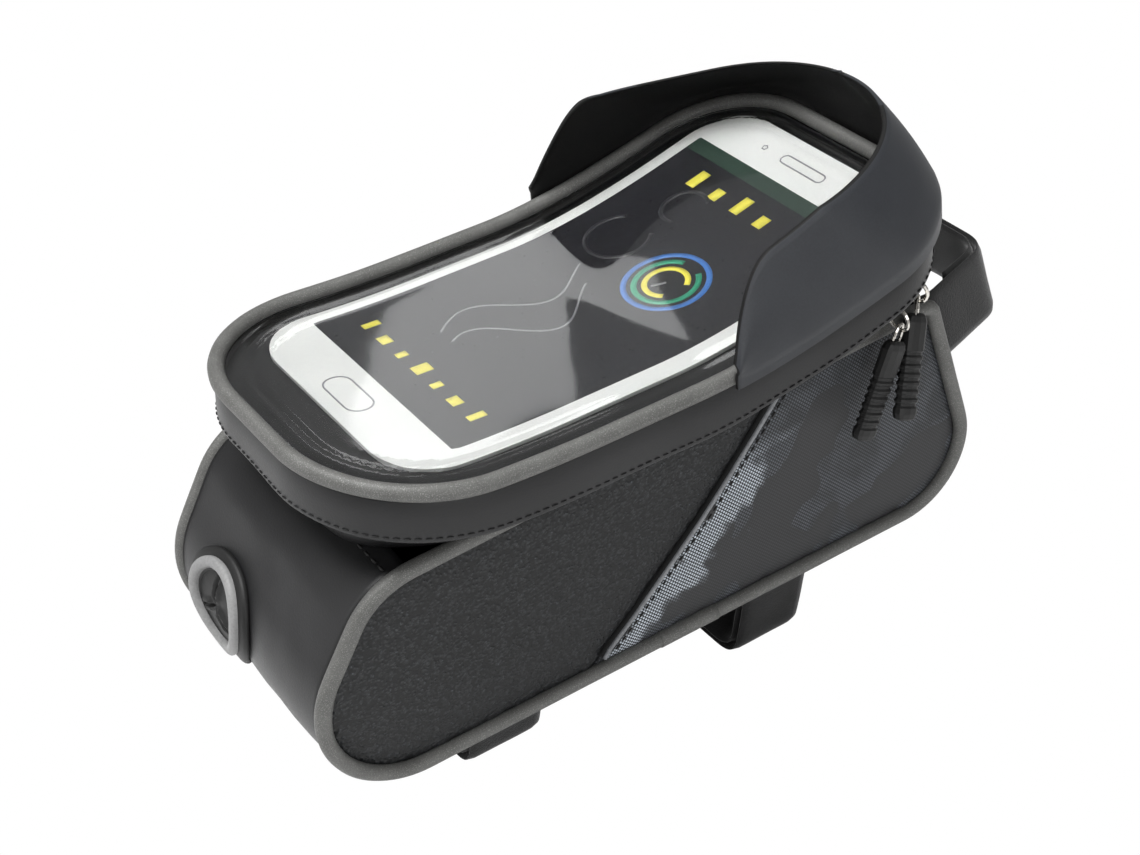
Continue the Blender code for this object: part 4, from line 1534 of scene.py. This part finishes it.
@dataclass
class Insert:
    """Flat printed insert shaped like a phone, with a generic dial print."""

    lib: Library
    x0: float = -60.5
    x1: float = 86.0
    y_mid: float = 2.0
    half: float = 37.0
    radius: float = 15.0
    top: float = 77.1
    ink: float = 0.12

    def plate(
        self, name: str, outline: Sequence[Vector], low: float, high: float, material: bpy.types.Material
    ) -> bpy.types.Object:
        """A thin plate that follows the lid's rise.

        Args:
            name: Name of the piece.
            outline: Points of the plate's edge.
            low: Lower level.
            high: Upper level.
            material: Finish of the piece.

        Returns:
            The new piece.
        """
        edge = [Vector((p.x, p.y)) for p in outline]
        inner: list[Vector] = []
        x0, x1 = min(p.x for p in edge), max(p.x for p in edge)
        y0, y1 = min(p.y for p in edge), max(p.y for p in edge)
        if x1 - x0 > 25:
            x = x0 + 4
            while x < x1 - 3:
                y = y0 + 4
                while y < y1 - 3:
                    p = Vector((x, y))
                    if inside(p, edge) and min((p - q).length for q in edge) > 1.5:
                        inner.append(p)
                    y += 6
                x += 4
        result = delaunay_2d_cdt(edge + inner, [], [list(range(len(edge)))], 1, 1e-6)
        flat = result[0]
        count = len(flat)
        verts = [(v.x, v.y, high + lift(v.x)) for v in flat] + [(v.x, v.y, low + lift(v.x)) for v in flat]
        faces = [tuple(f) for f in result[2]] + [tuple(count + i for i in reversed(f)) for f in result[2]]
        spots = {tuple(round(c, 4) for c in v): i for i, v in enumerate(flat)}
        ids = [spots[tuple(round(c, 4) for c in p)] for p in edge]
        for a, b in zip(ids, ids[1:] + ids[:1]):
            faces.append((a, b, count + b, count + a))
        obj = shown(name, verts, faces, material)
        for poly in obj.data.polygons:
            poly.use_smooth = False
        return obj

    def box(self, x0: float, x1: float, y0: float, y1: float, radius: float) -> list[Vector]:
        """Rounded rectangle outline."""
        corners = [((x0, y0), radius), ((x1, y0), radius), ((x1, y1), radius), ((x0, y1), radius)]
        return resample(rounded(corners, 0.0, 8.0), 2.0 if x1 - x0 > 25 else 0.5, True)

    def stroke(
        self,
        name: str,
        points: Sequence[Vector],
        width: float,
        key: str,
        closed: bool = False,
        level: float = 0.06,
    ) -> None:
        """A printed line of even width.

        Args:
            name: Name of the piece.
            points: Points of the line.
            width: Width of the line.
            key: Short name of the material.
            closed: True where the last point joins the first.
            level: Height of the print over the card.
        """
        pts = resample(points, 1.0, closed)
        norm = left_normals(pts, closed)
        high = self.top + level
        rings = []
        for p, n in zip(pts, norm):
            a, b = p + n * width / 2, p - n * width / 2
            low = high - self.ink
            rings.append([(q.x, q.y, z + lift(q.x)) for q, z in ((a, high), (b, high), (b, low), (a, low))])
        dress(loft(name, rings, self.lib[key], closed), Body.LID, "insert_print")

    def arc(self, cx: float, cy: float, r: float, a0: float, a1: float) -> list[Vector]:
        """Points on an arc, in degrees.

        Args:
            cx: Middle of the arc along the lid.
            cy: Middle of the arc across the lid.
            r: Radius of the arc.
            a0: First angle in degrees.
            a1: Last angle in degrees.

        Returns:
            Points of the arc.
        """
        steps = 40
        turns = (math.radians(a0 + (a1 - a0) * k / steps) for k in range(steps + 1))
        return [Vector((cx + r * math.cos(a), cy + r * math.sin(a))) for a in turns]

    def build(self) -> None:
        """Builds the card and its print."""
        top = self.top
        outline = self.box(self.x0, self.x1, self.y_mid - self.half, self.y_mid + self.half, self.radius)
        card = self.plate("insert_card", outline, top - 1.0, top, self.lib["card"])
        dress(card, Body.LID, "insert_print", "display_insert")
        outline = self.box(-45.0, 72.0, -29.5, 35.5, 0.6)
        screen = self.plate("insert_screen", outline, top - 0.1, top + 0.02, self.lib["screen"])
        dress(screen, Body.LID, "insert_print")
        outline = self.box(67.5, 72.0, -29.5, 35.5, 0.3)
        stripe = self.plate("insert_status_stripe", outline, top - 0.05, top + 0.05, self.lib["stripe"])
        dress(stripe, Body.LID, "insert_print")
        # Generic dial, ticks and bars in the print's colours
        cx, cy = 31.0, -4.5
        self.stroke("print_ring_outer", self.arc(cx, cy, 10.6, 0, 351), 1.5, "blue", True)
        self.stroke("print_ring_middle", self.arc(cx, cy, 8.0, 20, 335), 1.5, "green")
        self.stroke("print_ring_inner", self.arc(cx, cy, 5.4, -60, 225), 1.5, "yellow")
        self.stroke("print_dial_hand", [Vector((cx, cy)), Vector((cx - 3.4, cy + 1.6))], 0.8, "line")
        for k in range(7):
            x, y = -36.0, 27.0 - k * 8.0
            long, wide = 4.6 if k % 3 == 0 else 3.0, 2.2 if k % 2 == 0 else 3.6
            self.stroke(f"print_bar_{k}", [Vector((x, y)), Vector((x + long, y))], wide, "yellow")
        for k in range(4):
            y, end = 22.0 - 9.0 * k, 64.0 if k % 2 == 0 else 62.0
            self.stroke(f"print_mark_{k}", [Vector((58.0, y)), Vector((end, y))], 3.2, "yellow")
        for name, y, swing, lag, count in (("low", 14.0, 5.0, 0.0, 44), ("high", 4.0, 6.5, 0.8, 40)):
            line = [Vector((-22.0 + k, y + swing * math.sin(k / 6.0 + lag))) for k in range(count)]
            self.stroke(f"print_wave_{name}", line, 0.55, "line")
        self.stroke("print_arc_faint", self.arc(34.0, 20.0, 8.5, 40, 320), 1.2, "faint")
        self.stroke("print_arc_faint_two", self.arc(52.0, 16.0, 6.0, -40, 200), 1.2, "faint")
        # Key and slots in thin grey outline, as on a plain handset
        self.stroke("print_home_key", self.box(-56.5, -49.5, -5.0, 11.0, 3.2), 0.45, "line", True)
        self.stroke("print_earpiece", self.box(77.5, 80.3, -6.0, 10.0, 1.2), 0.4, "line", True)
        self.stroke("print_sensor", self.arc(78.9, 17.0, 0.8, 0, 351), 0.35, "line", True)


@dataclass
class Visor:
    """Sun visor: a bent sheet sewn outside the lid piping, leaning inwards to a wider curve at its top."""

    lib: Library
    foot: float = 77.0
    knee: float = 80.9
    out: float = 2.9
    inset: float = 3.0
    top_radius: float = 42.0
    right: float = 18.0
    left: float = 27.0
    end: float = 27.0
    end_share: float = 0.12
    thick: float = 1.0

    def line(
        self, inset: float, radius: float, straight: int = 40, turn: int = 44, front: int = 24
    ) -> list[Vector]:
        """Open line round the lid's front with the same count of points for any inset.

        Args:
            inset: Distance inwards from the lid's line.
            radius: Radius of the two corners.
            straight: Steps of each straight side.
            turn: Steps of each corner.
            front: Place of the line's front.

        Returns:
            Points of the line.
        """
        x_front, half = LID_FRONT - inset, LID_HALF - inset
        mid, gap = x_front - radius, half - radius
        out = [Vector((self.right + (mid - self.right) * k / straight, -half)) for k in range(straight)]
        for k in range(turn):
            a = -math.pi / 2 + math.pi / 2 * k / turn
            out.append(Vector((mid + radius * math.cos(a), -gap + radius * math.sin(a))))
        out += [Vector((x_front, -gap + 2 * gap * k / front)) for k in range(front)]
        for k in range(turn):
            a = math.pi / 2 * k / turn
            out.append(Vector((mid + radius * math.cos(a), gap + radius * math.sin(a))))
        out += [Vector((mid + (self.left - mid) * k / straight, half)) for k in range(straight + 1)]
        return out

    @staticmethod
    def height(x: float, y: float) -> float:
        """Height over the knee: tall at the sides, lower in front and lowest at the left corner.

        Args:
            x: Place along the bag.
            y: Place across the bag.

        Returns:
            The height in millimetres.
        """
        f = min(1.0, max(0.0, (x - 50.0) / 35.0))
        f = f * f * (3 - 2 * f)
        return (20.5 - 0.02 * y) * (1 - f) + (16.2 - 0.12 * y) * f

    def build(self) -> None:
        """Builds the sheet."""
        low = self.line(-self.out, LID_R_FRONT + self.out)
        high = self.line(self.inset, self.top_radius)
        norm = left_normals(low, False)
        run = running(low)
        rows = 14
        rings = []
        for p, q, n, s in zip(low, high, norm, run):
            n = n if n.x * (p.x - 20.0) + n.y * p.y > 0 else -n
            near = min(s, run[-1] - s)
            rise = max(self.end_share, max(0.0, 1 - (1 - min(near / self.end, 1.0)) ** 2.4) ** 0.62)
            level = self.knee + lift(p.x)
            tall = self.height(p.x, q.y) * rise
            path = [(p, self.foot + lift(p.x)), (p.lerp(q, 0.02 * rise), level)]
            for k in range(1, rows + 1):
                u = k / rows
                bow = 0.9 * math.sin(math.pi * u) + 0.6 * u * wave(s, 0, 0, 34.0, 2.0)
                path.append((p.lerp(q, rise * u) + n * bow, level + tall * u + 0.4 * u * wave(s, 5, 0, 30.0)))
            half = n * (self.thick / 2)
            ring = [(c.x + half.x, c.y + half.y, z) for c, z in path]
            ring += [(c.x - half.x, c.y - half.y, z) for c, z in reversed(path)]
            rings.append(ring)
        obj = loft("visor_sheet", rings, self.lib["visor_out"])
        # Faces turned inwards take the near-black inner finish, which is painted shade.
        obj.data.materials.append(self.lib["visor_in"])
        middle = Vector((10.0, 0.0, 90.0)) * MM
        for poly in obj.data.polygons:
            away = poly.center - middle
            if poly.normal.x * away.x + poly.normal.y * away.y < 0:
                poly.material_index = 1
        dress(obj, Body.LID, "visor_pu", "sun_visor")


@dataclass
class Zip:
    """Tapes, coil turns and the soft fold behind the lid."""

    lib: Library
    repeat: Repeater

    @staticmethod
    def u_line(half: float, front: float, radius: float) -> list[Vector]:
        """Open U line from the left rear round the front to the right rear.

        Args:
            half: Half width of the line.
            front: Place of the line's front.
            radius: Radius of the two corners.

        Returns:
            Points of the line.
        """
        out = [Vector((ZIP_REAR, half))]
        for k in range(19):
            a = math.pi / 2 * (1 - k / 18)
            out.append(Vector((front - radius + radius * math.cos(a), half - radius + radius * math.sin(a))))
        for k in range(19):
            a = -math.pi / 2 * k / 18
            out.append(Vector((front - radius + radius * math.cos(a), -half + radius + radius * math.sin(a))))
        out.append(Vector((ZIP_REAR, -half)))
        return out

    def zip_line(self, n: float) -> list[Vector]:
        """U line at n outwards from the middle of the zip."""
        return self.u_line(LID_HALF - ZIP_INSET + n, LID_FRONT - ZIP_INSET + n, LID_R_FRONT - ZIP_INSET + n)

    @staticmethod
    def even(line: Sequence[Vector]) -> list[Vector]:
        """The line with ZIP_STEPS even steps, so that lines can be paired."""
        return resample(line, running(line)[-1] / ZIP_STEPS, False)

    @staticmethod
    def seam_top(x: float) -> float:
        """Height of the upper side seam at x.

        Args:
            x: Place along the bag.

        Returns:
            The height in millimetres.
        """
        top = sorted((p.x, p.y) for p in SEAM if p.y > 45 and p.x < 86)
        for (x0, z0), (x1, z1) in zip(top, top[1:]):
            if x0 <= x <= x1:
                return z0 + (z1 - z0) * (x - x0) / max(1e-6, x1 - x0)
        return top[0][1] if x < top[0][0] else top[-1][1]

    def build(self) -> None:
        """Builds the zip and the fold."""
        leg, edge = self.even(self.u_line(34.2, 83.2, 12.0)), self.even(self.zip_line(-2.3))
        rings = []
        for a, c in zip(leg, edge):
            top = self.seam_top(a.x)
            end = ZIP_Z + lift(c.x)
            bend = ((a.x + c.x) / 2, (a.y + c.y) / 2, (top + 2.6 + ZIP_Z + lift(c.x)) / 2)
            path = [(a.x, a.y, top - 6.0), (a.x, a.y, top + 2.0), bend, (c.x, c.y, end)]
            norm = Vector((c.x - a.x, c.y - a.y, 0.0))
            norm = norm.normalized() * 0.6 if norm.length > 0.1 else Vector((0.6, 0, 0))
            back = enumerate(reversed(path))
            rings.append(
                path + [(x - norm.x, y - norm.y, z + (0.3 if k < 2 else 0.0)) for k, (x, y, z) in back]
            )
        low = loft("zip_tape_low", rings, self.lib["tape"])
        dress(low, Body.BAG, "tape_black", "zip_tape_lower")
        running(edge)[-1]
        inner, outer = self.even(self.zip_line(2.3)), self.even(self.zip_line(3.6))
        rings = []
        for a, b in zip(inner, outer):
            z = ZIP_Z + lift(a.x)
            rings.append([(a.x, a.y, z - 0.3), (b.x, b.y, z - 0.3), (b.x, b.y, z + 0.3), (a.x, a.y, z + 0.3)])
        dress(loft("zip_tape_high", rings, self.lib["tape"]), Body.LID, "tape_black", "zip_tape_upper")
        for sign, body, node in ((-1, Body.BAG, "zip_coil_lower"), (1, Body.LID, "zip_coil_upper")):
            run = [(p.x, p.y, ZIP_Z + lift(p.x)) for p in self.even(self.zip_line(sign * 1.4))]
            core = tube(f"{node}_core", [Vector(p) for p in run], 0.45, self.lib["coil"], sides=8)
            dress(core, body, "coil_black", node)
            turns = self.repeat.run(f"{node}_turns", run, 1.15, 0.7, 0.82, self.lib["coil"])
            dress(turns, body, "coil_black")
        self.fold()

    def fold(self) -> None:
        """Soft fold of coated fabric between the bag and the lid at the rear."""
        middle = -40.0
        base = [p for p in lid_line(-3.6, 1.6) if p.x < ZIP_REAR - 1.0]
        base.sort(key=lambda p: math.atan2(p.y, middle - p.x))
        norm = left_normals(base, False)
        rings = []
        rows = 14
        for p, n in zip(base, norm):
            n = n if n.x * (p.x - middle) + n.y * p.y > 0 else -n
            low = self.seam_top(p.x) + 0.9
            high = 69.2 + lift(p.x)
            ring = []
            for t, order in ((1, range(rows + 1)), (-1, range(rows, -1, -1))):
                for k in order:
                    u = k / rows
                    crumple = 0.9 * math.sin(math.pi * u) * wave(p.x, p.y, u * 9, 8.0, 6.0)
                    out = -6.2 * (1 - u) ** 1.3 + 0.7 * math.sin(2.5 * math.pi * u) + crumple + t * 0.5
                    ring.append((p.x + n.x * out, p.y + n.y * out, low + (high - low) * u))
            rings.append(ring)
        obj = loft("rear_fold_cloth", rings, self.lib["smooth"])
        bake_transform(obj)
        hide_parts("hinge_fold")
        running(base)[-1]
        LOG.info("rear_fold_cloth: %d faces", len(obj.data.polygons))


@dataclass
class Straps:
    """Hook-and-loop straps below the bag and in front."""

    lib: Library
    thick: float = 1.3
    wide: float = 21.0
    head_wide: float = 24.0
    corner: float = 9.0

    @staticmethod
    def path(points: Sequence[tuple[float, float]], radius: float) -> list[Vector]:
        """An open line with its corners rounded.

        Args:
            points: Points of the line.
            radius: Radius of the corners.

        Returns:
            Evenly spaced points.
        """
        pts = [Vector(p) for p in points]
        out = [pts[0]]
        for a, b, c in zip(pts, pts[1:], pts[2:]):
            d0, d1 = (b - a).normalized(), (c - b).normalized()
            reach = min(radius * math.tan(d0.angle(d1) / 2), (b - a).length * 0.45, (c - b).length * 0.45)
            start, end = b - d0 * reach, b + d1 * reach
            for k in range(9):
                t = k / 8
                out.append(start.lerp(b, t).lerp(b.lerp(end, t), t))
        out.append(pts[-1])
        return resample(out, 1.2, False)

    def tape(
        self,
        name: str,
        line: Sequence[Vector],
        place: Callable[[Vector, float], Point],
        wide: float,
        body: Body,
        node: str,
    ) -> None:
        """One tape with softly rounded edges.

        Args:
            name: Name of the piece.
            line: Points of the middle line.
            place: Turns a point of the line and a distance across it into a point in space.
            wide: Width of the tape.
            body: Body that the piece rides on.
            node: CAD node that the piece stands for.
        """
        norm = left_normals(line, False)
        rings = []
        cols = 10
        for i, (p, n) in enumerate(zip(line, norm)):
            ring = []
            for t, order in ((1, range(cols + 1)), (-1, range(cols, -1, -1))):
                for k in order:
                    v = -1 + 2 * k / cols
                    round_off = math.sqrt(max(0.0, 1 - abs(v) ** 12)) * 0.75 + 0.25
                    q = p + n * (
                        t * self.thick / 2 * round_off + 0.22 * wave(i * 1.2, v * 10, 0, 12.0, len(name))
                    )
                    ring.append(place(q, v * wide / 2))
            rings.append(ring)
        obj = loft(name, rings, self.lib["strap"])
        dress(obj, body, "strap_black", node)
        running(line)[-1]

    def build(self) -> None:
        """Builds the three straps."""
        step = self.thick + 0.3
        top = -0.3 - self.thick / 2
        for name, x, drop in (("rear", -35.0, 27.0), ("front", 50.0, 38.0)):

            def place(p: Vector, s: float, x: float = x) -> Point:
                """A point of a lower strap, s along the bag."""
                return (x + s, p.x, p.y)

            loop = self.path(
                [(6.0, top), (24.0, top), (16.0, -drop), (-16.0, -drop), (-20.2, -14.5)], self.corner
            )
            hook = self.path(
                [(-6.0, top), (-24.0 - step, top), (-16.0 - step, -drop - step), (9.0, -drop - step)],
                self.corner,
            )
            self.tape(f"{name}_loop_tape", loop, place, self.wide, Body.BAG, f"{name}_strap_loop_side")
            self.tape(f"{name}_hook_tape", hook, place, self.wide, Body.BAG, f"{name}_strap_hook_side")
        low, high = Vector(OUTLINE[1][0]), Vector(OUTLINE[2][0])
        up = (high - low).normalized()
        out = Vector((up.y, -up.x))
        mid = low.lerp(high, (46.0 - low.y) / (high.y - low.y)) + out * GUSSET_OUT

        def front(p: Vector, s: float) -> Point:
            """A point of the head strap, s up the front."""
            q = mid + out * min(p.x, 1.3) + Vector((1.0, 0.0)) * max(0.0, p.x - 1.3) + up * s
            return (q.x, p.y, q.y)

        base = 0.3 + self.thick / 2
        reach = 34.0
        loop = self.path(
            [(base, 6.0), (base, 25.0), (reach, 14.0), (reach, -14.0), (17.0, -19.6)], self.corner
        )
        hook = self.path(
            [(base, -6.0), (base, -25.0 - step), (reach + step, -14.0 - step), (reach + step, 8.0)],
            self.corner,
        )
        self.tape("head_loop_tape", loop, front, self.head_wide, Body.BAG, "head_strap_loop_side")
        self.tape("head_hook_tape", hook, front, self.head_wide, Body.BAG, "head_strap_hook_side")


@dataclass
class Hardware:
    """Metal and rubber pieces whose CAD solids stay, with better finishes."""

    lib: Library

    def build(self) -> None:
        """Gives each kept node its finish."""
        for node in ("near_slider", "far_slider", "near_ring", "far_ring", "near_link", "far_link"):
            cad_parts[node].material_slots[0].material = self.lib["nickel"]
        for node in ("near_grip", "far_grip"):
            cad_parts[node].material_slots[0].material = self.lib["rubber"]
        LOG.info("hardware dressed")


@dataclass
class Studio:
    """Camera, pale floor and soft lights."""

    lens: float = 61.66
    floor_half: float = 3000.0
    fill: float = 0.22
    location: Point = (-0.2012, -0.3339, 0.3310)
    forward: Point = (0.422, 0.689, -0.589)
    right: Point = (0.826, -0.560, -0.062)

    def camera(self) -> None:
        """Camera at the photograph's place."""
        data = bpy.data.cameras.new("camera")
        data.lens = self.lens
        data.sensor_width = 36.0
        data.clip_start = 0.01
        obj = bpy.data.objects.new("camera", data)
        ahead = Vector(self.forward).normalized()
        side = (Vector(self.right) - ahead * Vector(self.right).dot(ahead)).normalized()
        up = side.cross(ahead)
        axes = zip(side, up, -ahead, self.location)
        obj.matrix_world = Matrix([*axes, (0, 0, 0, 1)])
        bpy.context.collection.objects.link(obj)
        bpy.context.scene.camera = obj

    def floor(self) -> None:
        """White floor that the camera sees as pure white."""
        s = Shade("white_floor")
        path = s.add("ShaderNodeLightPath")
        glow = s.add("ShaderNodeEmission", {"Color": (1, 1, 1, 1), "Strength": 1.0})
        mix = s.add(
            "ShaderNodeMixShader",
            {0: path.outputs["Is Camera Ray"], 1: s.shader.outputs[0], 2: glow.outputs[0]},
        )
        s.tree.links.new(mix.outputs[0], s.tree.nodes["Material Output"].inputs["Surface"])
        s.finish(Base_Color=linear("f4f4f4"), Roughness=0.9)
        low = CAD_BOX[0][2] / MM - 0.05
        far = self.floor_half
        corners = [(-far, -far, low), (far, -far, low), (far, far, low), (-far, far, low)]
        obj = shown("studio_floor", corners, [(0, 1, 2, 3)], s.material)
        obj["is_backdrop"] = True

    def light(self, name: str, place: Point, size: tuple[float, float], power: float) -> None:
        """A soft box aimed at the bag.

        Args:
            name: Name of the light.
            place: Place in metres.
            size: Width and height in metres.
            power: Power in watts.
        """
        data = bpy.data.lights.new(name, "AREA")
        data.shape = "RECTANGLE"
        data.size, data.size_y = size
        data.energy = power
        obj = bpy.data.objects.new(name, data)
        obj.location = place
        aim = Vector((0.0, 0.0, 0.05)) - Vector(place)
        obj.rotation_euler = aim.to_track_quat("-Z", "Y").to_euler()
        bpy.context.collection.objects.link(obj)

    def build(self) -> None:
        """Builds the studio."""
        self.camera()
        self.floor()
        world = bpy.data.worlds.new("studio")
        bpy.context.scene.world = world
        world.use_nodes = True
        tree = world.node_tree
        back = tree.nodes["Background"]
        path = tree.nodes.new("ShaderNodeLightPath")
        white = tree.nodes.new("ShaderNodeBackground")
        mix = tree.nodes.new("ShaderNodeMixShader")
        back.inputs["Color"].default_value = (1, 1, 1, 1)
        back.inputs["Strength"].default_value = self.fill
        white.inputs["Color"].default_value = (1, 1, 1, 1)
        white.inputs["Strength"].default_value = 1.0
        tree.links.new(path.outputs["Is Camera Ray"], mix.inputs[0])
        tree.links.new(back.outputs[0], mix.inputs[1])
        tree.links.new(white.outputs[0], mix.inputs[2])
        tree.links.new(mix.outputs[0], tree.nodes["World Output"].inputs["Surface"])
        self.light("top_box", (-0.2, 0.1, 1.0), (0.6, 0.6), 14.0)
        self.light("rear_box", (0.46, 0.84, 0.74), (0.11, 0.20), 0.11)
        self.light("far_strip", (0.66, 0.66, 0.66), (0.014, 0.30), 0.10)
        self.light("front_box", (-0.1, -1.0, 0.45), (0.9, 0.5), 4.5)
        self.light("left_box", (-0.9, 0.3, 0.5), (0.5, 0.6), 2.0)
        bpy.context.scene.view_settings.view_transform = "Standard"
        LOG.info("studio ready")


def main() -> None:
    """Builds the classes in order."""
    logging.basicConfig(level=logging.INFO, format="%(name)s %(message)s")
    lib = Library()
    repeat = Repeater()
    Studio().build()
    shell = Shell(lib, repeat)
    shell.build()
    Port(lib, shell).build()
    Lid(lib, repeat).build()
    Insert(lib).build()
    Visor(lib).build()
    Zip(lib, repeat).build()
    Straps(lib).build()
    Hardware(lib).build()
    boxes = {"cad": CAD_BOX, "visual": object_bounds()}
    sizes = {name: [[float(c) for c in corner] for corner in box] for name, box in boxes.items()}
    LOG.info("sizes: %s", sizes)


if __name__ == "__main__":
    main()
